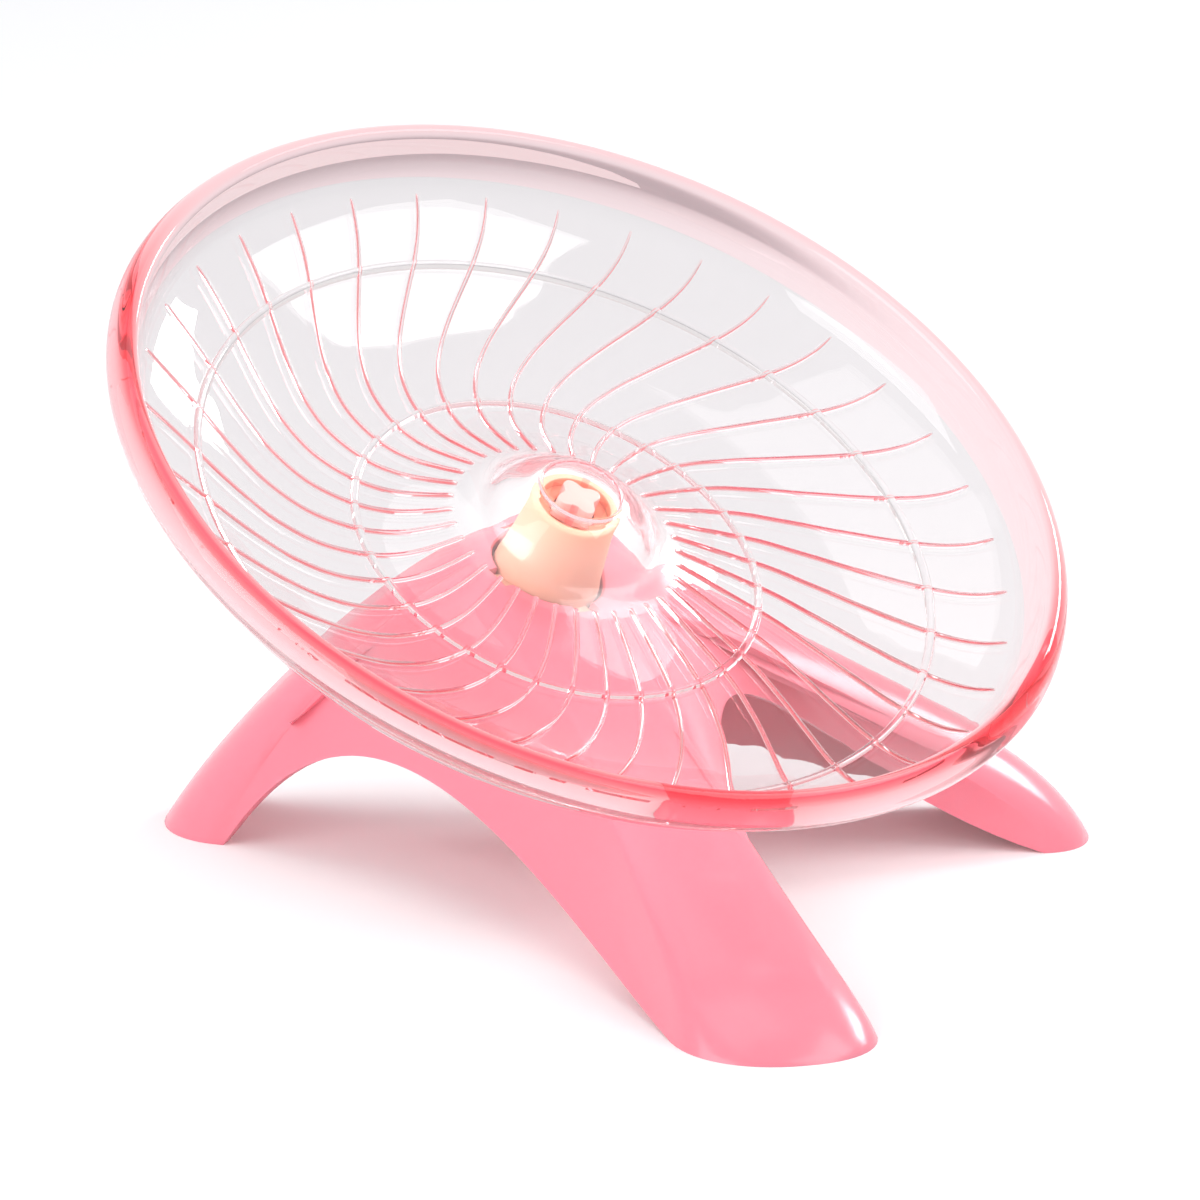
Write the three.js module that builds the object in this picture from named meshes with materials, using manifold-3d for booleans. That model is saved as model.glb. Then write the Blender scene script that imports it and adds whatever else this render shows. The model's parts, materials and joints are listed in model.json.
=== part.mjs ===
import * as THREE from 'three';
import { mergeVertices } from 'three/addons/utils/BufferGeometryUtils.js';
import Module from 'manifold-3d';

const library = await Module();
library.setup();

// Running saucer for a small pet: a clear ribbed bowl that turns on a leaning axle, on a three-legged stand.
// Lengths are in millimetres, angles in degrees, and depths along the axle are measured down from the lip.

// Saucer
const rimRadius = 90;
const bowlDepth = 20.3;
const bowlWall = 1.6;
const bowlSpanShares = [0, 0.082, 0.174, 0.266, 0.389, 0.512, 0.635, 0.752, 0.844, 0.921, 0.961, 0.987, 1];
const bowlDepthShares = [0.783, 0.872, 0.951, 0.99, 1, 0.951, 0.837, 0.695, 0.571, 0.443, 0.34, 0.187, 0.035];
const lipWidth = 5;
const lipHeight = 9;
const lipRise = 4.3;
const lipWidthShares = [0, 0.06, 0.24, 0.5, 0.78, 0.95, 1, 0.87, 0.59, 0.26];
const lipHeightShares = [0.23, 0.08, 0, 0.03, 0.16, 0.36, 0.52, 0.7, 0.87, 1];
const lipRootMargin = 2.2;

// Raised ribs and rings on the bowl's floor
const ribCount = 36;
const ribWidth = 0.9;
const ribHeight = 0.8;
const ribFade = 1.6;
const ribTipMargin = 8.3;
const ribSwirlDegrees = 23.5;
const ribSwirlStart = 6;
const ribPhaseDegrees = 2.1;
const ringWidth = 1.6;
const innerRingMargin = 17.2;
const outerRingMargin = 20.9;

// Dome over the bearing housing, part of the saucer
const hubFootRadius = 21;
const domeTopDepth = 6.5;
const domeTopRadius = 8.6;
const domeRingRadius = 7.7;
const domeRingWidth = 0.9;
const domeRingHeight = 0.6;
const domeShoulderRadius = 14.6;
const domeShoulderDepth = 10.8;
const domeSkirtRadius = 17.4;
const domeSkirtDepth = 13.9;
const domeWall = 1.6;
const keyLength = 2.5;
const keyWidth = 1.4;
const keyInnerRadius = 3.3;
const keyOuterRadius = 5.2;

// Stand
const tiltDegrees = 28.6;
const collarDepth = 20.3;
const collarHeight = 61.2;
const collarCrownRadius = 17;
const collarSink = 4;
const standWall = 2.4;
const lowFootHalfWidth = 18.4;
const highFootHalfWidth = 14.5;
const footCornerShare = 0.9;
const lowReach = 92.7;
const lowFootDepth = 16.3;
const sideReach = 97;
const sideFootDepth = 12;
const backReach = 60.4;
const backFootDepth = 13;
const backAzimuthDegrees = 123.8;
const frontSpreadDegrees = 43.8;
const lowToeTurnDegrees = 4.6;
const sideToeTurnDegrees = 9.4;
const backToeTurnDegrees = 14;
const legRootSpanDegrees = 34;
const toeRise = 22;
const toeRun = 12;
const lowToeRise = 14;
const lowToeRun = 14;
const flankRise = 12;
const flankRun = 2.5;
const lowFlankRise = 10;
const lowFlankRun = 4;
const lowLegDrop = 12;
const sideLegDrop = 24;
const backLegDrop = 35;
const archDrop = 5;
const frontArchRun = 72.7;
const frontArchTurnDegrees = 14.3;
const frontArchHeights = [12, 50];
const sideArchFrontRun = 54.5;
const sideArchBackRun = 26.7;
const sideArchHeights = [28.8, 30.3, 17.4, 3];
const socketWall = 3.4;
const socketLength = 14.5;
const notchCount = 4;
const notchWidth = 5;
const notchReach = 2.2;
const notchDepth = 3;
const notchPhaseDegrees = 6;

// Bearing housing and what turns in it
const seatGap = 0.3;
const axleGap = 0.1;
const housingRadius = 9.8;
const housingTopRadius = 8.2;
const housingTopGap = 2;
const housingEdge = 0.8;
const recessRadius = 6.5;
const axleRadius = 2.4;
const axleTail = 1.2;
const raceRadius = 5.5;
const raceWidth = 5;
const raceWall = 0.85;
const grooveDepth = 0.35;
const ballRadius = 0.8;
const ballGap = 0.12;
const ballCount = 7;
const cageWall = 0.5;
const cageWidth = 2.6;
const spacerLength = 8.6;
const spacerWall = 1;
const housingShoulder = 1.2;
const dogLobeRadius = 4.5;
const dogValleyRadius = 2.9;
const dogLobes = 4;
const dogThickness = 3;
const dogHubLength = 1.1;
const dogHubRadius = 3.4;
const washerRadius = 4.3;
const washerThickness = 0.6;
const clipRadius = 3.9;
const clipThickness = 0.6;
const clipGrooveDepth = 0.5;
const clipMouthDegrees = 80;
const capPocketRadius = 7;
const capPlugLength = 1.4;
const capFlangeThickness = 1;
const capCavity = 4;

// Mesh fineness
const axleSides = 24;
const bowlColumns = 54;
const underRows = 8;
const footSteps = 10;
const archSteps = 14;
const standRowCount = 14;
const lobeSteps = 10;
const cageSidesPerBall = 4;
const ballColumns = 8;
const ballRows = 6;
const clipSegments = 16;
const slopeStepShare = 0.125;
const overrun = 1;

const radians = THREE.MathUtils.degToRad;
const lerp = THREE.MathUtils.lerp;

// Shared places along the axle, as depths below the lip
const lipInnerRadius = rimRadius - lipWidth;
const roofDepth = domeTopDepth + domeWall;
const housingTopDepth = roofDepth + housingTopGap;
const dogTopDepth = roofDepth + seatGap;
const dogBottomDepth = dogTopDepth + dogThickness + dogHubLength;
const upperRaceDepth = dogBottomDepth + seatGap;
const spacerTopDepth = upperRaceDepth + raceWidth + seatGap;
const lowerRaceDepth = spacerTopDepth + spacerLength + seatGap;
const washerDepth = lowerRaceDepth + raceWidth + seatGap;
const clipDepth = washerDepth + washerThickness + seatGap;
const axleBottomDepth = clipDepth + clipThickness + axleTail;
const housingBottomDepth = washerDepth + capCavity + capPlugLength;
const collarTopDepth = collarDepth + collarSink;
const notchFloorDepth = collarTopDepth + notchDepth;
const boreRadius = housingRadius + seatGap;
const raceBoreRadius = axleRadius + axleGap;
const ballPitchRadius = (raceBoreRadius + raceRadius) / 2;

// Materials
function plastic(color, roughness) {
  return new THREE.MeshStandardMaterial({ color, roughness, metalness: 0 });
}

function metal(color, roughness) {
  return new THREE.MeshStandardMaterial({ color, roughness, metalness: 1 });
}

const clearPlastic = plastic(0xf6dfe2, 0.06);
clearPlastic.transparent = true;
clearPlastic.opacity = 0.35;
const pinkPlastic = plastic(0xffb0bd, 0.2);
const peachPlastic = plastic(0xf8cba4, 0.4);
const coralPlastic = plastic(0xff9a86, 0.4);
const bearingSteel = metal(0xc9ccd0, 0.25);
const brass = metal(0xc9a25a, 0.3);

// Solids, joins and cuts
function toSolid(geometry) {
  const bare = geometry.index ? geometry.toNonIndexed() : geometry.clone();
  bare.deleteAttribute('normal');
  bare.deleteAttribute('uv');
  const merged = mergeVertices(bare);
  return new library.Manifold(new library.Mesh({
    numProp: 3,
    vertProperties: new Float32Array(merged.attributes.position.array),
    triVerts: new Uint32Array(merged.index.array),
  }));
}

function toGeometry(solid) {
  const mesh = solid.getMesh();
  const geometry = new THREE.BufferGeometry();
  geometry.setAttribute('position', new THREE.BufferAttribute(mesh.vertProperties, 3));
  geometry.setIndex(new THREE.BufferAttribute(mesh.triVerts, 1));
  geometry.computeVertexNormals();
  return geometry;
}

function piece(name, geometry, material) {
  const mesh = new THREE.Mesh(geometry, material);
  mesh.name = name;
  return mesh;
}

// A turned form: each profile point is a radius and a depth, in order with the solid on its left
function turned(profile, sides = axleSides) {
  const points = profile.map(([radius, depth]) => new THREE.Vector2(radius, -depth));
  const geometry = new THREE.LatheGeometry(points, sides);
  geometry.rotateX(Math.PI / 2);
  return geometry;
}

// A turned tube between two depths
function sleeve(innerRadius, outerRadius, topDepth, bottomDepth, sides = axleSides) {
  return turned([
    [innerRadius, bottomDepth],
    [outerRadius, bottomDepth],
    [outerRadius, topDepth],
    [innerRadius, topDepth],
    [innerRadius, bottomDepth],
  ], sides);
}

// A turned rod between two depths
function rod(radius, topDepth, bottomDepth, sides = axleSides) {
  return turned([[0, bottomDepth], [radius, bottomDepth], [radius, topDepth], [0, topDepth]], sides);
}

// A skin from one end point, through closed rings of points, to another end point
function skin(firstPoint, rings, lastPoint) {
  const positions = [];
  const addPoint = (point) => positions.push(point.x, point.y, point.z) / 3 - 1;
  const triangles = [];
  const first = addPoint(firstPoint);
  const indexRings = rings.map((ring) => ring.map(addPoint));
  const last = addPoint(lastPoint);
  const top = indexRings[0];
  top.forEach((index, k) => triangles.push(first, index, top[(k + 1) % top.length]));
  for (let row = 1; row < indexRings.length; row += 1) {
    zip(indexRings[row - 1], indexRings[row], triangles);
  }
  const bottom = indexRings[indexRings.length - 1];
  bottom.forEach((index, k) => triangles.push(last, bottom[(k + 1) % bottom.length], index));
  return indexed(positions, triangles);
}

// Triangles between two closed rings, which may hold different numbers of points
function zip(ringA, ringB, triangles) {
  let a = 0;
  let b = 0;
  while (a < ringA.length || b < ringB.length) {
    const nextA = (a + 1) / ringA.length;
    const nextB = (b + 1) / ringB.length;
    const fromA = ringA[a % ringA.length];
    const fromB = ringB[b % ringB.length];
    if (nextB <= nextA) {
      b += 1;
      triangles.push(fromA, fromB, ringB[b % ringB.length]);
    } else {
      a += 1;
      triangles.push(fromA, fromB, ringA[a % ringA.length]);
    }
  }
}

function indexed(positions, triangles) {
  const geometry = new THREE.BufferGeometry();
  geometry.setAttribute('position', new THREE.Float32BufferAttribute(positions, 3));
  geometry.setIndex(triangles);
  return geometry;
}

function polar(radius, angle, depth) {
  return new THREE.Vector3(radius * Math.cos(angle), radius * Math.sin(angle), -depth);
}

// Saucer: the bowl's upper surface, as a depth for each radius
const bowlCurve = new THREE.CubicInterpolant(
  bowlSpanShares.map((share) => lerp(hubFootRadius, lipInnerRadius, share)),
  bowlDepthShares.map((share) => share * bowlDepth),
  1,
);

function bowlDepthAt(radius) {
  return bowlCurve.evaluate(radius)[0];
}

// The bowl's lower surface lies one wall below the upper one, square to it
function bowlUnderside(radius) {
  const step = bowlWall * slopeStepShare;
  const inward = Math.max(radius - step, hubFootRadius);
  const outward = Math.min(radius + step, lipInnerRadius);
  const slope = (bowlDepthAt(outward) - bowlDepthAt(inward)) / (outward - inward);
  const length = Math.hypot(1, slope);
  return [radius - (bowlWall * slope) / length, bowlDepthAt(radius) + bowlWall / length];
}

const ribTipRadius = rimRadius - ribTipMargin;
const ribSwirlRadius = hubFootRadius + ribSwirlStart;

// Each rib is an S-curve: its swirl eases from full by the hub to none at the tip
function swirlAt(radius) {
  const held = THREE.MathUtils.clamp(radius, hubFootRadius, ribTipRadius);
  const travel = (held - ribSwirlRadius) / (ribTipRadius - ribSwirlRadius);
  return radians(ribPhaseDegrees + (ribSwirlDegrees * (1 + Math.cos(Math.PI * travel))) / 2);
}

// A ring of the ribbed floor: every rib gives a foot, a crest and a foot
function ribbedRing(radius, crestHeight, floorHeight) {
  const ring = [];
  const depth = bowlDepthAt(radius);
  for (let rib = 0; rib < ribCount; rib += 1) {
    const angle = swirlAt(radius) + (rib / ribCount) * Math.PI * 2;
    const halfAngle = ribWidth / 2 / radius;
    ring.push(polar(radius, angle, depth - Math.max(crestHeight, floorHeight)));
    ring.push(polar(radius, angle + halfAngle, depth - floorHeight));
    const nextAngle = angle + (Math.PI * 2) / ribCount;
    ring.push(polar(radius, nextAngle - halfAngle, depth - floorHeight));
  }
  return ring;
}

// A plain ring of points, turned to line up with the ribs at one radius
function plainRing(radius, depth, count, ribRadius) {
  const ring = [];
  for (let k = 0; k < count; k += 1) {
    ring.push(polar(radius, swirlAt(ribRadius) + (k / count) * Math.PI * 2, depth));
  }
  return ring;
}

const innerRingRadius = hubFootRadius + innerRingMargin;
const outerRingRadius = rimRadius - outerRingMargin;

function ribRows() {
  const rows = [[hubFootRadius, 0, 0], [hubFootRadius + ribFade, ribHeight, 0]];
  const addSpan = (from, to, count) => {
    for (let k = 1; k <= count; k += 1) {
      rows.push([lerp(from, to, k / (count + 1)), ribHeight, 0]);
    }
  };
  const addRing = (radius) => {
    rows.push([radius - ringWidth / 2, ribHeight, 0]);
    rows.push([radius, ribHeight, ribHeight]);
    rows.push([radius + ringWidth / 2, ribHeight, 0]);
  };
  addSpan(hubFootRadius + ribFade, innerRingRadius - ringWidth / 2, 2);
  addRing(innerRingRadius);
  addSpan(innerRingRadius + ringWidth / 2, outerRingRadius - ringWidth / 2, 4);
  addRing(outerRingRadius);
  addSpan(outerRingRadius + ringWidth / 2, ribTipRadius - ribFade, 1);
  rows.push([ribTipRadius - ribFade, ribHeight, 0], [ribTipRadius, 0, 0]);
  return rows;
}

// The rounded lip, from the bowl's upper edge over the top and round to its lower edge
function lipProfile() {
  return lipWidthShares.map((widthShare, k) => [
    lipInnerRadius + widthShare * lipWidth,
    lipHeightShares[k] * lipHeight - lipRise,
  ]);
}

function saucerSkin() {
  const ringLow = domeRingRadius - domeRingWidth / 2;
  const ringHigh = domeRingRadius + domeRingWidth / 2;
  const rings = [
    plainRing(ringLow, domeTopDepth, ribCount, hubFootRadius),
    plainRing(domeRingRadius, domeTopDepth - domeRingHeight, ribCount, hubFootRadius),
    plainRing(ringHigh, domeTopDepth, ribCount, hubFootRadius),
    plainRing(domeTopRadius, domeTopDepth + (domeTopRadius - ringHigh) / 2, ribCount, hubFootRadius),
    plainRing(domeShoulderRadius, domeShoulderDepth, ribCount, hubFootRadius),
    plainRing(domeSkirtRadius, domeSkirtDepth, ribCount, hubFootRadius),
  ];
  ribRows().forEach(([radius, crest, floor]) => rings.push(ribbedRing(radius, crest, floor)));
  const wallMiddle = lerp(ribTipRadius, lipInnerRadius, 1 / 2);
  rings.push(plainRing(wallMiddle, bowlDepthAt(wallMiddle), bowlColumns, rimRadius));
  rings.push(plainRing(lipInnerRadius, bowlDepthAt(lipInnerRadius), bowlColumns, rimRadius));
  lipProfile().forEach(([radius, depth]) => rings.push(plainRing(radius, depth, bowlColumns, rimRadius)));
  for (let k = 0; k <= underRows; k += 1) {
    const upperRadius = lerp(lipInnerRadius - lipRootMargin, hubFootRadius, k / underRows);
    const [radius, depth] = bowlUnderside(upperRadius);
    rings.push(plainRing(radius, depth, bowlColumns, rimRadius));
  }
  rings.push(plainRing(domeSkirtRadius - domeWall, domeSkirtDepth + domeWall, ribCount, rimRadius));
  rings.push(plainRing(domeShoulderRadius - domeWall, domeShoulderDepth + domeWall, ribCount, rimRadius));
  rings.push(plainRing(domeTopRadius - domeWall / 2, roofDepth, ribCount, rimRadius));
  return skin(polar(0, 0, domeTopDepth), rings, polar(0, 0, roofDepth));
}

// Four keys hang from the dome's roof, between the lobes of the drive dog
function saucerGeometry() {
  let solid = toSolid(saucerSkin());
  const keyReach = keyOuterRadius - keyInnerRadius;
  for (let k = 0; k < dogLobes; k += 1) {
    const key = new THREE.BoxGeometry(keyReach, keyWidth, keyLength + domeWall / 2);
    key.translate(
      keyInnerRadius + keyReach / 2,
      0,
      -(roofDepth - domeWall / 2 + (keyLength + domeWall / 2) / 2),
    );
    key.rotateZ(((k + 1 / 2) / dogLobes) * Math.PI * 2);
    solid = solid.add(toSolid(key));
  }
  return toGeometry(solid);
}

// Stand: the saucer's axis leans toward -Y and meets the collar's top above the ground point at 0, 0
const tilt = radians(tiltDegrees);
const axisDirection = new THREE.Vector3(0, -Math.sin(tilt), Math.cos(tilt));
const collarPoint = new THREE.Vector3(0, 0, collarHeight);
const lipPoint = collarPoint.clone().addScaledVector(axisDirection, collarDepth);

// A point of the tilted frame, as a radius and an angle round the axis and a depth below the lip
function onAxis(radius, angle, depth) {
  return polar(radius, angle, depth).applyAxisAngle(new THREE.Vector3(1, 0, 0), tilt).add(lipPoint);
}

const backAzimuth = radians(backAzimuthDegrees);
const frontMiddle = backAzimuth + Math.PI;
const frontSpread = radians(frontSpreadDegrees);

function flat(angle) {
  return new THREE.Vector3(Math.cos(angle), Math.sin(angle), 0);
}

function makeLeg(azimuth, toeTwist, reach, shape) {
  return {
    azimuth,
    toeAzimuth: azimuth + toeTwist,
    ...shape,
    middle: flat(azimuth).multiplyScalar(reach),
  };
}

const lowShape = {
  halfWidth: lowFootHalfWidth,
  depth: lowFootDepth,
  drop: lowLegDrop,
  rise: lowToeRise,
  run: lowToeRun,
  sideRise: lowFlankRise,
  sideRun: lowFlankRun,
};
const sideShape = {
  halfWidth: highFootHalfWidth,
  depth: sideFootDepth,
  drop: sideLegDrop,
  rise: toeRise,
  run: toeRun,
  sideRise: flankRise,
  sideRun: flankRun,
};
const backShape = { ...sideShape, depth: backFootDepth, drop: backLegDrop };

// The legs in order round the stand: the low one, the side one and the back one
const legs = [
  makeLeg(frontMiddle - frontSpread, -radians(lowToeTurnDegrees), lowReach, lowShape),
  makeLeg(frontMiddle + frontSpread, -radians(sideToeTurnDegrees), sideReach, sideShape),
  makeLeg(backAzimuth + Math.PI * 2, radians(backToeTurnDegrees), backReach, backShape),
];

// The arches in order, each from one leg's foot to the next leg's
const arches = [
  {
    runs: [frontArchRun, frontArchRun],
    turn: radians(frontArchTurnDegrees),
    heights: [...frontArchHeights, ...frontArchHeights.toReversed()],
  },
  { runs: [sideArchFrontRun, sideArchBackRun], turn: 0, heights: sideArchHeights.toReversed() },
  { runs: [sideArchBackRun, sideArchFrontRun], turn: 0, heights: sideArchHeights },
];

function footPoint(leg, share) {
  const turn = Math.PI * share;
  const across = -Math.sign(Math.cos(turn)) * Math.abs(Math.cos(turn)) ** footCornerShare;
  const along = Math.abs(Math.sin(turn)) ** footCornerShare;
  return leg.middle.clone()
    .addScaledVector(flat(leg.toeAzimuth), along * leg.depth)
    .addScaledVector(flat(leg.toeAzimuth + Math.PI / 2), across * leg.halfWidth);
}

function bernstein(values, share) {
  const points = values.slice();
  for (let level = points.length - 1; level > 0; level -= 1) {
    for (let k = 0; k < level; k += 1) {
      points[k] = lerp(points[k], points[k + 1], share);
    }
  }
  return points[0];
}

function archPoint(arch, legA, legB, share) {
  const start = footPoint(legA, 1);
  const end = footPoint(legB, 0);
  const controls = [
    start,
    start.clone().addScaledVector(flat(legA.toeAzimuth + arch.turn), -arch.runs[0]),
    end.clone().addScaledVector(flat(legB.toeAzimuth - arch.turn), -arch.runs[1]),
    end,
  ];
  return new THREE.Vector3(
    bernstein(controls.map((point) => point.x), share),
    bernstein(controls.map((point) => point.y), share),
    bernstein([0, ...arch.heights, 0], share),
  );
}

// The lower edge of the stand, as a list of places with what shapes the wall above each
function edgePlaces() {
  const rootSpan = radians(legRootSpanDegrees);
  const places = [];
  legs.forEach((leg, index) => {
    for (let k = 0; k < footSteps; k += 1) {
      const share = k / footSteps;
      const swell = Math.sin(Math.PI * share) ** 2;
      places.push({
        edge: footPoint(leg, share),
        root: lerp(leg.azimuth - rootSpan, leg.azimuth + rootSpan, share),
        rise: lerp(leg.sideRise, leg.rise, swell),
        run: lerp(leg.sideRun, leg.run, swell),
        drop: leg.drop,
      });
    }
    const arch = arches[index];
    const nextLeg = legs[(index + 1) % legs.length];
    const nextAzimuth = nextLeg.azimuth + (index === legs.length - 1 ? Math.PI * 2 : 0);
    for (let k = 0; k < archSteps; k += 1) {
      const share = k / archSteps;
      const blend = (1 - Math.cos(Math.PI * share)) / 2;
      const swell = Math.sin(Math.PI * share);
      places.push({
        edge: archPoint(arch, leg, nextLeg, share),
        root: lerp(leg.azimuth + rootSpan, nextAzimuth - rootSpan, share),
        rise: lerp(lerp(leg.sideRise, nextLeg.sideRise, blend), archDrop, swell),
        run: lerp(leg.sideRun, nextLeg.sideRun, blend),
        drop: lerp(lerp(leg.drop, nextLeg.drop, blend), archDrop, swell),
      });
    }
  });
  return places;
}

// How high the plane through the collar's top, square to the axis, lies above a place on the ground
function tiltedPlaneHeight(point) {
  return collarHeight + point.y * Math.tan(tilt);
}

// One line of the stand's outer face, from the collar's bore to its lower edge
function standLine(place, outward) {
  const bore = onAxis(boreRadius - overrun, place.root, collarTopDepth);
  const crown = onAxis(collarCrownRadius, place.root, collarTopDepth);
  const wallTop = place.edge.clone().addScaledVector(outward, -place.run);
  wallTop.z += place.rise;
  const shoulder = crown.clone().lerp(wallTop, 1 / 2);
  shoulder.z = Math.max(tiltedPlaneHeight(shoulder) - place.drop, wallTop.z);
  return [bore, crown, shoulder, wallTop, place.edge];
}

function standRows() {
  const places = edgePlaces();
  const lines = places.map((place, k) => {
    const before = places[(k + places.length - 1) % places.length].edge;
    const after = places[(k + 1) % places.length].edge;
    const outward = new THREE.Vector3(after.y - before.y, before.x - after.x, 0).normalize();
    return standLine(place, outward);
  });
  const rows = [];
  for (let row = 0; row <= standRowCount; row += 1) {
    const share = row / standRowCount;
    rows.push(lines.map((line) => new THREE.Vector3(
      bernstein(line.map((point) => point.x), share),
      bernstein(line.map((point) => point.y), share),
      bernstein(line.map((point) => point.z), share),
    )));
  }
  return rows;
}

// The inner face lies one wall inside the outer one, level with it along the lower edge and never below
function insetRows(rows) {
  const count = rows[0].length;
  return rows.map((row, r) => row.map((point, k) => {
    const along = row[(k + 1) % count].clone().sub(row[(k + count - 1) % count]);
    const down = rows[Math.min(r + 1, rows.length - 1)][k].clone().sub(rows[Math.max(r - 1, 0)][k]);
    const normal = down.cross(along).normalize();
    if (r === rows.length - 1) {
      normal.z = 0;
      normal.normalize();
    }
    const inset = point.clone().addScaledVector(normal, -standWall);
    inset.z = Math.max(inset.z, rows[rows.length - 1][k].z);
    return inset;
  }));
}

// A closed skin over a stack of rings that ends where it began
function loopSkin(rings) {
  const positions = [];
  const addPoint = (point) => positions.push(point.x, point.y, point.z) / 3 - 1;
  const triangles = [];
  const indexRings = rings.map((ring) => ring.map(addPoint));
  indexRings.forEach((ring, k) => zip(ring, indexRings[(k + 1) % indexRings.length], triangles));
  return indexed(positions, triangles);
}

function tilted(geometry) {
  geometry.rotateX(tilt);
  geometry.translate(lipPoint.x, lipPoint.y, lipPoint.z);
  return geometry;
}

// A block beside the axis, by its reach from one radius to another and its depths
function radialBlock(innerRadius, outerRadius, width, topDepth, bottomDepth, angle) {
  const block = new THREE.BoxGeometry(outerRadius - innerRadius, width, bottomDepth - topDepth);
  block.translate((innerRadius + outerRadius) / 2, 0, -(topDepth + bottomDepth) / 2);
  block.rotateZ(angle);
  return block;
}

function notchAngle(index) {
  return radians(notchPhaseDegrees) + (index / notchCount) * Math.PI * 2;
}

const socketRadius = boreRadius + socketWall;
const socketBottomDepth = collarTopDepth + socketLength;

function standGeometry() {
  const outer = standRows();
  const inner = insetRows(outer);
  let solid = toSolid(loopSkin([...outer, ...inner.toReversed()]));
  const socketTop = collarTopDepth + standWall / 2;
  const socket = sleeve(boreRadius - overrun, socketRadius, socketTop, socketBottomDepth, axleSides);
  solid = solid.add(toSolid(tilted(socket)));
  const bore = rod(boreRadius, collarTopDepth - collarCrownRadius, socketBottomDepth + overrun, axleSides);
  solid = solid.subtract(toSolid(tilted(bore)));
  for (let k = 0; k < notchCount; k += 1) {
    const notch = radialBlock(
      boreRadius - overrun,
      boreRadius + notchReach,
      notchWidth,
      collarTopDepth - overrun,
      notchFloorDepth,
      notchAngle(k),
    );
    solid = solid.subtract(toSolid(tilted(notch)));
  }
  return toGeometry(solid);
}

// Bearing housing: a tapered tube with a bearing seat at each end and four lugs in the collar's notches
function housingGeometry() {
  const seatRadius = raceRadius + seatGap;
  const shoulderRadius = raceRadius - housingShoulder;
  const upperFloor = upperRaceDepth + raceWidth + seatGap;
  const lowerRoof = lowerRaceDepth - seatGap;
  const cavityTop = lowerRaceDepth + raceWidth;
  const seatTop = upperRaceDepth - seatGap;
  let solid = toSolid(turned([
    [capPocketRadius, housingBottomDepth],
    [housingRadius, housingBottomDepth],
    [housingRadius, collarTopDepth],
    [housingTopRadius, housingTopDepth + housingEdge],
    [housingTopRadius - housingEdge, housingTopDepth],
    [recessRadius, housingTopDepth],
    [recessRadius, seatTop],
    [seatRadius, seatTop],
    [seatRadius, upperFloor],
    [shoulderRadius, upperFloor],
    [shoulderRadius, lowerRoof],
    [seatRadius, lowerRoof],
    [seatRadius, cavityTop],
    [capPocketRadius, cavityTop],
    [capPocketRadius, housingBottomDepth],
  ]));
  for (let k = 0; k < notchCount; k += 1) {
    const lug = radialBlock(
      housingRadius - overrun,
      boreRadius + notchReach - seatGap,
      notchWidth - seatGap * 2,
      collarTopDepth + seatGap,
      notchFloorDepth - seatGap,
      notchAngle(k),
    );
    solid = solid.add(toSolid(lug));
  }
  return toGeometry(solid);
}

function capGeometry() {
  const plugTop = housingBottomDepth - capPlugLength;
  const flangeTop = housingBottomDepth + seatGap;
  return turned([
    [0, flangeTop + capFlangeThickness],
    [housingRadius, flangeTop + capFlangeThickness],
    [housingRadius, flangeTop],
    [capPocketRadius - seatGap, flangeTop],
    [capPocketRadius - seatGap, plugTop],
    [0, plugTop],
  ]);
}

function axleGeometry() {
  const grooveRadius = axleRadius - clipGrooveDepth;
  const grooveTop = clipDepth - seatGap / 2;
  const grooveBottom = clipDepth + clipThickness + seatGap / 2;
  const top = dogTopDepth + dogThickness / 2;
  return turned([
    [0, axleBottomDepth],
    [axleRadius, axleBottomDepth],
    [axleRadius, grooveBottom],
    [grooveRadius, grooveBottom],
    [grooveRadius, grooveTop],
    [axleRadius, grooveTop],
    [axleRadius, top],
    [0, top],
  ]);
}

// Drive dog: a lobed disc on a short round hub, bored from below for the axle
function dogGeometry() {
  const outline = new THREE.Shape();
  const steps = dogLobes * lobeSteps;
  const middle = (dogLobeRadius + dogValleyRadius) / 2;
  const swing = (dogLobeRadius - dogValleyRadius) / 2;
  for (let k = 0; k < steps; k += 1) {
    const angle = (k / steps) * Math.PI * 2;
    const radius = middle + swing * Math.cos(dogLobes * angle);
    if (k === 0) {
      outline.moveTo(radius, 0);
    } else {
      outline.lineTo(radius * Math.cos(angle), radius * Math.sin(angle));
    }
  }
  const disc = new THREE.ExtrudeGeometry(outline, { depth: dogThickness, bevelEnabled: false });
  disc.translate(0, 0, -(dogTopDepth + dogThickness));
  const hub = rod(dogHubRadius, dogTopDepth + dogThickness - seatGap, dogBottomDepth);
  const boreTop = dogTopDepth + dogThickness / 2 - seatGap;
  const bore = rod(axleRadius + axleGap, boreTop, dogBottomDepth + overrun);
  return toGeometry(toSolid(disc).add(toSolid(hub)).subtract(toSolid(bore)));
}

// Ball bearing: two grooved races, a cage and its balls
function innerRaceGeometry(topDepth) {
  const outer = raceBoreRadius + raceWall;
  const middle = topDepth + raceWidth / 2;
  return turned([
    [raceBoreRadius, topDepth + raceWidth],
    [outer, topDepth + raceWidth],
    [outer, middle + ballRadius],
    [outer - grooveDepth, middle],
    [outer, middle - ballRadius],
    [outer, topDepth],
    [raceBoreRadius, topDepth],
    [raceBoreRadius, topDepth + raceWidth],
  ]);
}

function outerRaceGeometry(topDepth) {
  const inner = raceRadius - raceWall;
  const middle = topDepth + raceWidth / 2;
  return turned([
    [raceRadius, topDepth + raceWidth],
    [raceRadius, topDepth],
    [inner, topDepth],
    [inner, middle - ballRadius],
    [inner + grooveDepth, middle],
    [inner, middle + ballRadius],
    [inner, topDepth + raceWidth],
    [raceRadius, topDepth + raceWidth],
  ]);
}

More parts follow.
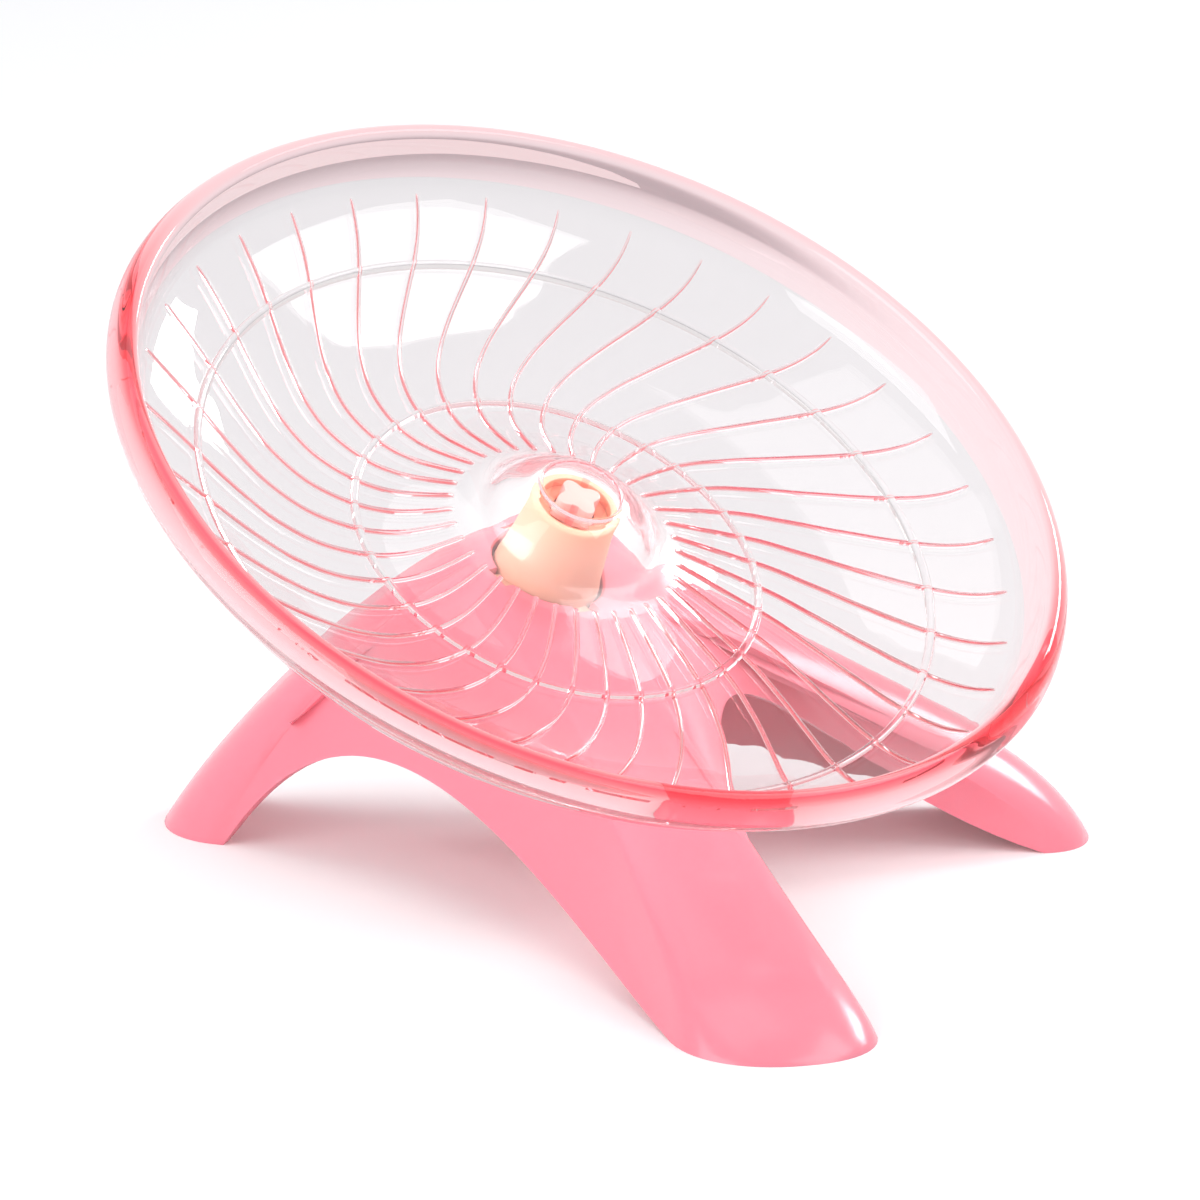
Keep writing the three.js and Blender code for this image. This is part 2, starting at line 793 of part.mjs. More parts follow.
function ballPlace(index, topDepth) {
  return polar(ballPitchRadius, (index / ballCount) * Math.PI * 2, topDepth + raceWidth / 2);
}

function cageGeometry(topDepth) {
  const middle = topDepth + raceWidth / 2;
  const ring = sleeve(
    ballPitchRadius - cageWall / 2,
    ballPitchRadius + cageWall / 2,
    middle - cageWidth / 2,
    middle + cageWidth / 2,
    ballCount * cageSidesPerBall,
  );
  let solid = toSolid(ring);
  const pocketRadius = ballRadius + ballGap;
  for (let k = 0; k < ballCount; k += 1) {
    const pocket = new THREE.CylinderGeometry(pocketRadius, pocketRadius, cageWidth, ballColumns);
    pocket.rotateZ(Math.PI / 2);
    pocket.rotateZ((k / ballCount) * Math.PI * 2);
    const place = ballPlace(k, topDepth);
    pocket.translate(place.x, place.y, place.z);
    solid = solid.subtract(toSolid(pocket));
  }
  return toGeometry(solid);
}

function ballGeometry(place) {
  const ball = new THREE.SphereGeometry(ballRadius, ballColumns, ballRows);
  ball.translate(place.x, place.y, place.z);
  return ball;
}

// Retaining clip: an open ring in the axle's groove
function clipGeometry() {
  const mouth = radians(clipMouthDegrees);
  const outline = new THREE.Shape();
  outline.absarc(0, 0, clipRadius, mouth / 2, Math.PI * 2 - mouth / 2, false);
  outline.absarc(0, 0, axleRadius - clipGrooveDepth + axleGap, Math.PI * 2 - mouth / 2, mouth / 2, true);
  const clip = new THREE.ExtrudeGeometry(outline, {
    depth: clipThickness,
    bevelEnabled: false,
    curveSegments: clipSegments,
  });
  clip.translate(0, 0, -(clipDepth + clipThickness));
  return clip;
}

// Assembly: everything on the axle lies in one leaning group
const product = new THREE.Group();
product.add(piece('stand', standGeometry(), pinkPlastic));

const leaning = new THREE.Group();
leaning.position.copy(lipPoint);
leaning.rotation.x = tilt;
product.add(leaning);

leaning.add(piece('saucer', saucerGeometry(), clearPlastic));
leaning.add(piece('bearing_housing', housingGeometry(), peachPlastic));
leaning.add(piece('housing_cap', capGeometry(), peachPlastic));
leaning.add(piece('drive_dog', dogGeometry(), coralPlastic));
leaning.add(piece('axle', axleGeometry(), bearingSteel));
const spacerRadius = raceBoreRadius + spacerWall;
const spacer = sleeve(raceBoreRadius, spacerRadius, spacerTopDepth, spacerTopDepth + spacerLength);
leaning.add(piece('bearing_spacer', spacer, brass));
const washer = sleeve(raceBoreRadius, washerRadius, washerDepth, washerDepth + washerThickness);
leaning.add(piece('thrust_washer', washer, brass));
leaning.add(piece('retaining_clip', clipGeometry(), bearingSteel));

for (const [place, topDepth] of [['upper', upperRaceDepth], ['lower', lowerRaceDepth]]) {
  leaning.add(piece(`${place}_outer_race`, outerRaceGeometry(topDepth), bearingSteel));
  leaning.add(piece(`${place}_inner_race`, innerRaceGeometry(topDepth), bearingSteel));
  leaning.add(piece(`${place}_ball_cage`, cageGeometry(topDepth), brass));
  for (let k = 0; k < ballCount; k += 1) {
    const ball = ballGeometry(ballPlace(k, topDepth));
    leaning.add(piece(`${place}_ball_${k + 1}`, ball, bearingSteel));
  }
}

// The finished part stands on the ground with the middle of its footprint at the origin
const box = new THREE.Box3().setFromObject(product, true);
const centre = box.getCenter(new THREE.Vector3());
product.position.set(-centre.x, -centre.y, -box.min.z);
const saucerWheel = new THREE.Group();
saucerWheel.add(product);

export default saucerWheel;
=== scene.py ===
import json
import math

import bmesh
import bpy
import numpy as np
from bpy.props import FloatProperty, FloatVectorProperty, IntProperty, PointerProperty
from mathutils import Matrix, Vector


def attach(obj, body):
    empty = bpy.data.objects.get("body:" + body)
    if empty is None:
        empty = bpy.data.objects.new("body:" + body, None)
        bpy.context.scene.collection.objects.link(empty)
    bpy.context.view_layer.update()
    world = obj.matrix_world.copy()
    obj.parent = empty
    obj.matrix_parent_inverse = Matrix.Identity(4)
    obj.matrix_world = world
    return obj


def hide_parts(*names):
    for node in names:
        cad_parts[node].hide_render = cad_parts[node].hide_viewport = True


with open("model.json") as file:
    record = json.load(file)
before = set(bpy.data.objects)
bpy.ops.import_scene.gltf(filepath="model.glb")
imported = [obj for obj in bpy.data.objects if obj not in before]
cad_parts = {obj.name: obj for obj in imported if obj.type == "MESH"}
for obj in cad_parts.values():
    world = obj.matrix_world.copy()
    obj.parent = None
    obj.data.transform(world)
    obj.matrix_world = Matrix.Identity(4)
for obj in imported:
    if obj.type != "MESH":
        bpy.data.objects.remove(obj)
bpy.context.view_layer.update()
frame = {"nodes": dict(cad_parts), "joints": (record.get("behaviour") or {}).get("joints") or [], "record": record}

bl_info = {
    "name": "Running Saucer",
    "version": (1, 0, 0),
    "blender": (4, 5, 0),
    "location": "View3D > Sidebar > Running Saucer",
    "description": "Builds a clear ribbed running saucer on a three-legged moulded stand",
    "category": "Add Mesh",
}

# The leaning axle, from the frame: depths are measured down it from the saucer's lip
spin = next(joint for joint in frame["joints"] if joint["name"] == "saucer_spin")
lip_point = Vector(spin["pos_m"])
axle_line = Vector(spin["axis"]).normalized()
tilt = math.atan2(-axle_line.y, axle_line.z)
lean = Matrix.Translation(lip_point) @ Matrix.Rotation(tilt, 4, "X")

# Saucer: bowl and lip as shares, so that they follow the sizes below
BOWL_SPAN_SHARES = (0, 0.082, 0.174, 0.266, 0.389, 0.512, 0.635, 0.752, 0.844, 0.921, 0.961, 0.987, 1)
BOWL_DEPTH_SHARES = (0.783, 0.872, 0.951, 0.99, 1, 0.951, 0.837, 0.695, 0.571, 0.443, 0.34, 0.187, 0.035)
LIP_WIDTH_SHARES = (0, 0.06, 0.24, 0.5, 0.78, 0.95, 1, 0.87, 0.59, 0.26)
LIP_HEIGHT_SHARES = (0.23, 0.08, 0, 0.03, 0.16, 0.36, 0.52, 0.7, 0.87, 1)
LIP_ROOT_MARGIN = 0.0022
HUB_FOOT_RADIUS = 0.021
DOME_LINE = ((0.00815, 0.0065), (0.0086, 0.00665), (0.0094, 0.00705), (0.0146, 0.0108), (0.0174, 0.0139))
DOME_TOP_DEPTH = 0.0065
DOME_WALL = 0.0016
DOME_UNDERSIDE = ((0.0158, 0.0155), (0.013, 0.0124), (0.0092, 0.009), (0.0078, 0.00825))
ROOF_RADIUS = 0.0068
MIDDLE_RADIUS = 0.0015
DOME_SPAN = (0.0085, 0.0205)
DOME_RING_RADIUS = 0.0077
DOME_RING_WIDTH = 0.0009
DOME_RING_HEIGHT = 0.0006
RIB_TIP_MARGIN = 0.0083
RIB_SWIRL_START = 0.006
RIB_FADE = 0.0016
RIB_TAPER = 0.012
RIB_TIP_SHARE = 0.45
INNER_RING_MARGIN = 0.0172
OUTER_RING_MARGIN = 0.0209
BUMP_SHARES = (-1, -0.86, -0.5, 0, 0.5, 0.86, 1)
# Painted red edge glow on the lip, weakened away from one heading, and painted refraction lines on the dome's
# crown and the ribs' flanks; all tint the clear plastic's colour
LIP_PAINTED_GLOW_PLACES = (0.05, 0.2, 0.45, 0.66, 0.84, 1.0, 1.3)
LIP_PAINTED_GLOW_SHARES = (0, 0.7, 1, 0.9, 0.45, 0.15, 0.05)
LIP_PAINTED_GLOW_HEADING = math.radians(233)
LIP_PAINTED_GLOW_LEAST = 0.25
LIP_PAINTED_GLOW_DROP = 0.36
LIP_PAINTED_GLOW_START = 0.5
LIP_PAINTED_GLOW_BLEND = 0.6
DOME_PAINTED_REFRACTION_PLACES = (0.0088, 0.0102, 0.0116, 0.013)
DOME_PAINTED_REFRACTION_SHARES = (0, 0.3, 0.3, 0)
RIB_PAINTED_REFRACTION = 0.9
DEEP_RAY = 3.5
SOLID_DEPTH = 3.0
HAZE_PLACES = (0.0095, 0.013, 0.021, 0.03)
HAZE_SHARES = (0, 1, 1, 0)
HAZE_HEADING = math.radians(300)
HAZE_LEAST = 0.2
HAZE_BOTTOM_DEPTH = 0.0165
HAZE_ROUGHNESS = 0.26
HAZE_IOR = 1.9
# Painted light: over the dome the clear plastic's tint is nearly white, so the housing under it shows brighter
DOME_PAINTED_LIGHT_PLACES = (0.012, 0.02)
DOME_PAINTED_LIGHT_SHARES = (0.9, 0)
DOME_PAINTED_LIGHT_COLOUR = (1.0, 0.985, 0.98)
SHADOW_COLOUR = (0.985, 0.965, 0.968)

# Stand
COLLAR_DEPTH = 0.0203
COLLAR_TOP_DEPTH = 0.0243
COLLAR_CROWN_RADIUS = 0.017
SOCKET_WALL = 0.0034
SOCKET_LENGTH = 0.0145
BORE_RADIUS = 0.0101
NOTCHES = 4
NOTCH_WIDTH = 0.005
NOTCH_REACH = 0.0022
NOTCH_DEPTH = 0.003
NOTCH_PHASE = math.radians(6)
NOTCH_OVERRUN = 0.001
BORE_INSET = 0.001
SOCKET_CLEARANCE = 0.0008
SOCKET_ROOT = 0.001
SOCKET_EASE = 0.0004
FOOT_CORNER_SHARE = 0.9
LOW_REACH = 0.0927
LOW_FOOT_DEPTH = 0.0163
SIDE_REACH = 0.097
SIDE_FOOT_DEPTH = 0.012
BACK_REACH = 0.0604
BACK_FOOT_DEPTH = 0.013
HIGH_FOOT_HALF_WIDTH = 0.0145
BACK_AZIMUTH = math.radians(123.8)
FRONT_SPREAD = math.radians(43.8)
LOW_TOE_TURN = math.radians(4.6)
SIDE_TOE_TURN = math.radians(9.4)
BACK_TOE_TURN = math.radians(14)
ROOT_SPAN = math.radians(34)
ARCH_DROP = 0.005
FRONT_ARCH_RUN = 0.0727
FRONT_ARCH_TURN = math.radians(14.3)
FRONT_ARCH_HEIGHTS = (0.012, 0.05)
SIDE_ARCH_FRONT_RUN = 0.0545
SIDE_ARCH_BACK_RUN = 0.0267
SIDE_ARCH_HEIGHTS = (0.0288, 0.0303, 0.0174, 0.003)

# Bearing unit and finishes
GAP = 0.0003
BUMP_DISTANCE = 0.0001
ROOF_DEPTH = DOME_TOP_DEPTH + DOME_WALL
HOUSING_TOP_DEPTH = ROOF_DEPTH + 0.002
SEAT_LEDGE_DEPTH = 0.0125
SEAL_TOP_DEPTH = 0.0118
SEAL_BOTTOM_DEPTH = 0.01245
SEAL_BORE_RADIUS = 0.0039
SEAL_RADIUS = 0.0064
HOUSING_BOTTOM_DEPTH = 0.0377
HOUSING_EDGE = 0.0008
HOUSING_BORE_RADIUS = 0.0043
RACE_SEAT_RADIUS = 0.0058
UPPER_SHOULDER_DEPTH = 0.0181
LOWER_SHOULDER_DEPTH = 0.0267
CAP_SEAT_RADIUS = 0.007
CAP_SEAT_DEPTH = 0.032
CAP_FLANGE = 0.001
CAP_PLUG = 0.0014
LUG_ROOT = 0.0005
KEY_INNER_RADIUS = 0.0033
KEY_OUTER_RADIUS = 0.0052
KEY_WIDTH = 0.0014
KEY_LENGTH = 0.0025
KEY_SEAT_GAP = 0.00002
DOG_LOBES = 4
DOG_THICKNESS = 0.003
DOG_HUB_RADIUS = 0.0034
DOG_HUB_LENGTH = 0.0011
DOG_BORE_RADIUS = 0.0025
DOG_BORE_DEPTH = 0.0012


def length_value(name, description, default):
    return FloatProperty(name=name, description=description, default=default, unit="LENGTH")


def angle_value(name, description, degrees):
    return FloatProperty(name=name, description=description, default=math.radians(degrees), subtype="ANGLE")


def colour_value(name, description, default):
    return FloatVectorProperty(name=name, description=description, default=default, subtype="COLOR", size=3)


class SaucerSizes(bpy.types.PropertyGroup):
    """Sizes of the clear saucer"""

    rim_radius: length_value("Rim Radius", "From the axle to the lip's outside", 0.09)
    bowl_depth: length_value("Bowl Depth", "From the lip down to the floor", 0.0203)
    bowl_wall: length_value("Wall", "Thickness of the bowl", 0.0016)
    lip_width: length_value("Lip Width", "Width of the rounded lip", 0.005)
    lip_height: length_value("Lip Height", "Height of the rounded lip", 0.009)
    lip_rise: length_value("Lip Rise", "How far the lip stands above its widest line", 0.0043)
    rib_count: IntProperty(name="Ribs", description="Raised ribs on the floor", default=36, min=3)
    rib_width: length_value("Rib Width", "Width of a rib", 0.0009)
    rib_height: length_value("Rib Height", "Height of a rib", 0.0008)
    rib_swirl: angle_value("Rib Swirl", "Turn of a rib from hub to tip", 23.5)
    rib_phase: angle_value("Rib Phase", "Place of the first rib's tip", 2.1)
    ring_width: length_value("Ring Width", "Width of the two raised rings", 0.0016)


class StandSizes(bpy.types.PropertyGroup):
    """Sizes of the moulded stand"""

    wall: length_value("Wall", "Thickness of the shell", 0.0024)
    foot_half_width: length_value("Foot Half Width", "Half the width of a foot", 0.0184)
    toe_rise: length_value("Toe Rise", "Height of the control over a toe", 0.022)
    toe_run: length_value("Toe Run", "How far the control over a toe lies in", 0.012)
    edge_round: length_value("Edge Round", "Rounding of the shell's edges", 0.00035)


class UnitSizes(bpy.types.PropertyGroup):
    """Sizes of the bearing unit's visible pieces"""

    housing_radius: length_value("Housing Radius", "At the collar", 0.0095)
    housing_top_radius: length_value("Housing Top Radius", "Under the dome", 0.0082)
    recess_radius: length_value("Recess Radius", "Inside the housing's mouth", 0.0065)
    lobe_radius: length_value("Lobe Radius", "Drive dog, at a lobe", 0.0045)
    valley_radius: length_value("Valley Radius", "Drive dog, between lobes", 0.0029)


class Colours(bpy.types.PropertyGroup):
    """Colours of the finishes, as linear values"""

    clear: colour_value("Clear", "Clear plastic", (0.795, 0.778, 0.782))
    dye: colour_value("Dye", "Dye in the clear plastic", (1.0, 0.22, 0.32))
    dye_density: FloatProperty(
        name="Dye Density", description="Strength of the dye for each metre", default=14.0, min=0.0
    )
    depth: colour_value("Depth", "Light led through the plastic", (1.0, 0.84, 0.85))
    # Painted red edge glow and refraction lines along the lip, ribs and dome, mixed into the clear plastic's
    # colour
    edge: colour_value("Edge", "Dye that shows along the lip and ribs", (1.0, 0.002, 0.02))
    pink: colour_value("Pink", "Stand", (1.0, 0.265, 0.34))
    peach: colour_value("Peach", "Bearing housing", (0.95, 0.58, 0.39))
    # Painted shade: a deeper orange for the faces inside the housing's recess
    recess_shade: colour_value("Recess", "Inside the housing's recess", (1.0, 0.45, 0.26))
    coral: colour_value("Coral", "Drive dog", (1.0, 0.56, 0.5))
    steel: colour_value("Steel", "Axle and bearings", (0.58, 0.59, 0.61))
    brass: colour_value("Brass", "Cages, spacer and washer", (0.62, 0.4, 0.13))
    floor: colour_value("Floor", "Floor under the object", (0.9, 0.9, 0.9))


# Meshes


def smooth_line(places, values, at):
    """Monotone cubic line through points, read at many places."""
    places = np.asarray(places, float)
    values = np.asarray(values, float)
    steps = np.diff(places)
    slopes = np.diff(values) / steps
    tangents = np.zeros(len(places))
    for k in range(1, len(places) - 1):
        if slopes[k - 1] * slopes[k] > 0:
            before = 2 * steps[k] + steps[k - 1]
            after = steps[k] + 2 * steps[k - 1]
            tangents[k] = (before + after) / (before / slopes[k - 1] + after / slopes[k])
    tangents[0] = slopes[0]
    tangents[-1] = slopes[-1]
    at = np.clip(np.asarray(at, float), places[0], places[-1])
    k = np.clip(np.searchsorted(places, at, side="right") - 1, 0, len(steps) - 1)
    t = (at - places[k]) / steps[k]
    return (
        values[k] * (1 + 2 * t) * (1 - t) ** 2
        + steps[k] * tangents[k] * t * (1 - t) ** 2
        + values[k + 1] * t * t * (3 - 2 * t)
        + steps[k] * tangents[k + 1] * t * t * (t - 1)
    )


def rounded_path(points, per_span):
    """A smooth path through points, with a few places for each span between them."""
    points = np.asarray(points, float)
    path = []
    for k in range(len(points) - 1):
        before = points[max(k - 1, 0)]
        start = points[k]
        end = points[k + 1]
        after = points[min(k + 2, len(points) - 1)]
        for step in range(per_span):
            t = step / per_span
            square = (2 * before - 5 * start + 4 * end - after) * t * t
            cube = (3 * start - before - 3 * end + after) * t ** 3
            path.append(0.5 * (2 * start + (end - before) * t + square + cube))
    path.append(points[-1])
    return np.array(path)


def bezier(controls, share):
    """A point of the curve that these control points pull."""
    points = [np.asarray(point, float) for point in controls]
    while len(points) > 1:
        points = [a + (b - a) * share for a, b in zip(points, points[1:])]
    return points[0]


def loop_faces(rows, columns):
    """Quads of a tube of rings that closes both ways."""
    faces = []
    for row in range(rows):
        here = row * columns
        below = (row + 1) % rows * columns
        for column in range(columns):
            beside = (column + 1) % columns
            faces.append((here + column, below + column, below + beside, here + beside))
    return faces


def new_object(name, points, faces):
    mesh = bpy.data.meshes.new(name)
    mesh.from_pydata([tuple(point) for point in points], [], faces)
    mesh.validate()
    thing = bpy.data.objects.new(name, mesh)
    bpy.context.scene.collection.objects.link(thing)
    return thing


def settle(thing, merge=0.0):
    """Merges doubles and turns every face outward."""
    work = bmesh.new()
    work.from_mesh(thing.data)
    if merge:
        bmesh.ops.remove_doubles(work, verts=work.verts, dist=merge)
    bmesh.ops.recalc_face_normals(work, faces=work.faces)
    work.to_mesh(thing.data)
    work.free()


def shade(thing, angle):
    thing.data.shade_smooth()
    thing.data.set_sharp_from_angle(angle=angle)


def make_plain(thing):
    """Turns an object with its modifiers into a plain mesh."""
    graph = bpy.context.evaluated_depsgraph_get()
    shaped = thing.evaluated_get(graph)
    mesh = bpy.data.meshes.new_from_object(shaped, preserve_all_data_layers=True, depsgraph=graph)
    thing.modifiers.clear()
    old = thing.data
    thing.data = mesh
    bpy.data.meshes.remove(old)
    mesh.name = thing.name


def round_edges(thing, name, width, angle):
    modifier = thing.modifiers.new(name, "BEVEL")
    modifier.width = width
    modifier.segments = 2
    modifier.limit_method = "ANGLE"
    modifier.angle_limit = angle
    make_plain(thing)


def round_axle(radius, angle, depth):
    """A place round the axle, before the axle leans."""
    return radius * math.cos(angle), radius * math.sin(angle), -depth


def turned_object(name, profile, bevel, sides=96):
    """A piece turned from (radius, depth) pairs in a closed order; a radius of 0 is a pole."""
    turns = [k / sides * math.tau for k in range(sides)]
    points = [round_axle(radius, turn, depth) for radius, depth in profile for turn in turns]
    thing = new_object(name, points, loop_faces(len(profile), sides))
    settle(thing, merge=1e-6)
    round_edges(thing, "rounding", bevel, math.radians(35))
    thing.data.transform(lean)
    shade(thing, math.radians(38))
    return thing


def block_points(inner, outer, width, top, bottom, angle):
    """Eight corners of a block beside the axle."""
    corners = []
    for radius in (inner, outer):
        for across in (-0.5 * width, 0.5 * width):
            x = radius * math.cos(angle) - across * math.sin(angle)
            y = radius * math.sin(angle) + across * math.cos(angle)
            corners += [(x, y, -top), (x, y, -bottom)]
    return corners


BLOCK_FACES = ((0, 1, 3, 2), (4, 6, 7, 5), (0, 4, 5, 1), (2, 3, 7, 6), (0, 2, 6, 4), (1, 5, 7, 3))


def feed(tree, node, inputs):
    """Links a node's inputs to sockets, or sets them to plain values."""
    for key, value in inputs.items():
        if isinstance(value, bpy.types.NodeSocket):
            tree.links.new(value, node.inputs[key])
        else:
            node.inputs[key].default_value = value


def add_node(tree, kind, inputs=None, **settings):
    node = tree.nodes.new(kind)
    for name, value in settings.items():
        setattr(node, name, value)
    feed(tree, node, inputs or {})
    return node


def maths(tree, operation, *inputs):
    return add_node(tree, "ShaderNodeMath", dict(enumerate(inputs)), operation=operation).outputs[0]


def vector_maths(tree, operation, *inputs):
    return add_node(tree, "ShaderNodeVectorMath", dict(enumerate(inputs)), operation=operation).outputs


def add_sockets(tree, in_out, sockets):
    """Sockets of a node group from their names, with a kind and any plain value for each."""
    for name, (kind, *value) in sockets.items():
        socket = tree.interface.new_socket(name, in_out=in_out, socket_type="NodeSocket" + kind)
        if value:
            socket.default_value = value[0]


def input_of(tree, name):
    return next(item for item in tree.interface.items_tree if item.name == name and item.in_out == "INPUT")


def round_axis_tree():
    """Copies its geometry round the Z axis, joins the copies and gives them a material."""
    tree = bpy.data.node_groups.get("Copies Round Axis")
    if tree:
        return tree
    tree = bpy.data.node_groups.new("Copies Round Axis", "GeometryNodeTree")
    add_sockets(tree, "INPUT", {
        "Geometry": ("Geometry",),
        "Count": ("Int", 4),
        "Start": ("Float", 0.0),
        "Join Distance": ("Float", 1e-6),
        "Material": ("Material",),
    })
    add_sockets(tree, "OUTPUT", {"Geometry": ("Geometry",)})
    source = add_node(tree, "NodeGroupInput").outputs
    line = add_node(tree, "GeometryNodeMeshLine", {"Count": source["Count"], "Offset": (0, 0, 0)})
    index = add_node(tree, "GeometryNodeInputIndex").outputs[0]
    step = maths(tree, "DIVIDE", math.tau, source["Count"])
    angle = maths(tree, "MULTIPLY_ADD", index, step, source["Start"])
    turned = add_node(tree, "ShaderNodeCombineXYZ", {"Z": angle}).outputs[0]
    rotation = add_node(tree, "FunctionNodeEulerToRotation", {0: turned}).outputs[0]
    copies = add_node(
        tree,
        "GeometryNodeInstanceOnPoints",
        {"Points": line.outputs["Mesh"], "Instance": source["Geometry"], "Rotation": rotation},
    )
    real = add_node(tree, "GeometryNodeRealizeInstances", {0: copies.outputs["Instances"]}).outputs[0]
    merge = {"Geometry": real, "Distance": source["Join Distance"]}
    merged = add_node(tree, "GeometryNodeMergeByDistance", merge).outputs[0]
    paint = add_node(tree, "GeometryNodeSetMaterial", {"Geometry": merged, "Material": source["Material"]})
    add_node(tree, "NodeGroupOutput", {"Geometry": paint.outputs[0]})
    return tree


def copy_round(thing, count, start, material, distance=1e-6):
    """Spreads a piece round the axle and makes the result a plain mesh."""
    tree = round_axis_tree()
    modifier = thing.modifiers.new("copies", "NODES")
    modifier.node_group = tree
    values = {"Count": count, "Start": start, "Join Distance": distance, "Material": material}
    for name, value in values.items():
        modifier[input_of(tree, name).identifier] = value
    make_plain(thing)


def blocks_round(name, block, count, start, material):
    """Copies of a block, each square to the leaning axle."""
    blocks = new_object(name, block_points(*block, 0.0), BLOCK_FACES)
    settle(blocks)
    copy_round(blocks, count, start, material)
    blocks.data.transform(lean)
    return blocks


# Materials


def moulded_group():
    """Colour, roughness and height of a moulded surface, which change a little over it."""
    group = bpy.data.node_groups.get("Moulded Surface")
    if group:
        return group
    group = bpy.data.node_groups.new("Moulded Surface", "ShaderNodeTree")
    add_sockets(group, "INPUT", {
        "Colour": ("Color",),
        "Variation": ("Float", 0.04),
        "Low Roughness": ("Float", 0.15),
        "High Roughness": ("Float", 0.25),
        "Flow Scale": ("Float", 30.0),
        "Grain Scale": ("Float", 900.0),
    })
    add_sockets(group, "OUTPUT", {"Colour": ("Color",), "Roughness": ("Float",), "Height": ("Float",)})
    source = add_node(group, "NodeGroupInput").outputs
    place = add_node(group, "ShaderNodeTexCoord").outputs["Object"]
    flow = {"Vector": place, "Scale": source["Flow Scale"], "Detail": 3.0}
    grain = {"Vector": place, "Scale": source["Grain Scale"], "Detail": 2.0}
    broad = add_node(group, "ShaderNodeTexNoise", flow).outputs["Fac"]
    fine = add_node(group, "ShaderNodeTexNoise", grain).outputs["Fac"]
    shift = maths(group, "MULTIPLY_ADD", maths(group, "SUBTRACT", broad, 0.5), source["Variation"], 1.0)
    tone = add_node(group, "ShaderNodeHueSaturation", {"Color": source["Colour"], "Value": shift})
    ends = {"Value": fine, "To Min": source["Low Roughness"], "To Max": source["High Roughness"]}
    spread = add_node(group, "ShaderNodeMapRange", ends)
    results = {"Colour": tone.outputs["Color"], "Roughness": spread.outputs["Result"], "Height": fine}
    add_node(group, "NodeGroupOutput", results)
    return group


def node_of(tree, kind):
    return next(node for node in tree.nodes if node.type == kind)


def start_material(name):
    """A material, its node tree and its main shader."""
    material = bpy.data.materials.new(name)
    material.use_nodes = True
    return material, material.node_tree, node_of(material.node_tree, "BSDF_PRINCIPLED")


def moulded_material(name, colour, variation, roughness, scales, bump=0.0, **inputs):
    """A material whose shader is fed by the moulded surface group and by plain inputs."""
    material, tree, shader = start_material(name)
    values = {
        "Colour": (*colour, 1),
        "Variation": variation,
        "Low Roughness": roughness[0],
        "High Roughness": roughness[1],
        "Flow Scale": scales[0],
        "Grain Scale": scales[1],
    }
    group = add_node(tree, "ShaderNodeGroup", values, node_tree=moulded_group()).outputs
    feed(tree, shader, {"Base Color": group["Colour"], "Roughness": group["Roughness"]})
    if bump:
        relief = {"Strength": bump, "Distance": BUMP_DISTANCE, "Height": group["Height"]}
        feed(tree, shader, {"Normal": add_node(tree, "ShaderNodeBump", relief).outputs["Normal"]})
    feed(tree, shader, {key.replace("_", " "): value for key, value in inputs.items()})
    return material, tree, shader


def share_of(tree, name):
    """How much of an effect a place has, from the mesh's own attribute."""
    return add_node(tree, "ShaderNodeAttribute", attribute_name=name).outputs["Fac"]


def mix_colour(tree, shader, share, colour):
    """Blends a colour into the shader's base colour by a share."""
    base = shader.inputs["Base Color"].links[0].from_socket
    mix = add_node(tree, "ShaderNodeMix", {0: share, 6: base, 7: (*colour, 1)}, data_type="RGBA")
    feed(tree, shader, {"Base Color": mix.outputs[2]})


def mix_shaders(tree, share, first, second):
    return add_node(tree, "ShaderNodeMixShader", {0: share, 1: first, 2: second}).outputs[0]


def see_through(tree, colour):
    return add_node(tree, "ShaderNodeBsdfTransparent", {"Color": (*colour, 1)}).outputs[0]


def clear_material():
    """Clear plastic with a pink dye, which shows where light runs a long way inside it, and a painted red edge
    glow on its lip, ribs and dome.
    """
    colours = bpy.context.scene.saucer_colours
    material, tree, shader = moulded_material(
        "clear_plastic", colours.clear, 0.02, (0.008, 0.02), (25, 40), Transmission_Weight=1.0, IOR=1.46
    )
    # Painted red edge glow: the mesh's dye share, on front faces only, mixes the edge colour into the base colour
    side = add_node(tree, "ShaderNodeNewGeometry").outputs["Backfacing"]
    painted_glow_share = maths(tree, "MULTIPLY", share_of(tree, "dye"), maths(tree, "SUBTRACT", 1.0, side))
    mix_colour(tree, shader, painted_glow_share, colours.edge)
    # Painted light: the dome's tint is paled so the housing under it shows brighter
    mix_colour(tree, shader, share_of(tree, "dome_painted_light"), DOME_PAINTED_LIGHT_COLOUR)
    haze = share_of(tree, "haze")
    feed(tree, shader, {"Coat Weight": haze, "Coat Roughness": HAZE_ROUGHNESS, "Coat IOR": HAZE_IOR})
    dye = {"Color": (*colours.dye, 1), "Density": colours.dye_density}
    volume = add_node(tree, "ShaderNodeVolumeAbsorption", dye).outputs[0]
    # Rays that went deep, or that leave a solid place, pass straight and keep a pale tint
    path = add_node(tree, "ShaderNodeLightPath").outputs
    passed = maths(tree, "MULTIPLY_ADD", share_of(tree, "solid"), SOLID_DEPTH, path["Ray Depth"])
    deep = maths(tree, "GREATER_THAN", passed, DEEP_RAY)
    guided = mix_shaders(tree, deep, shader.outputs[0], see_through(tree, colours.depth))
    surface = mix_shaders(tree, path["Is Shadow Ray"], guided, see_through(tree, SHADOW_COLOUR))
    feed(tree, node_of(tree, "OUTPUT_MATERIAL"), {"Surface": surface, "Volume": volume})
    return material


def pink_material():
    return moulded_material(
        "pink_plastic",
        bpy.context.scene.saucer_colours.pink,
        variation=0.05,
        roughness=(0.16, 0.24),
        scales=(22, 1400),
        bump=0.02,
        IOR=1.5,
        Subsurface_Weight=0.25,
        Subsurface_Radius=(1.0, 0.35, 0.35),
        Subsurface_Scale=0.002,
    )[0]


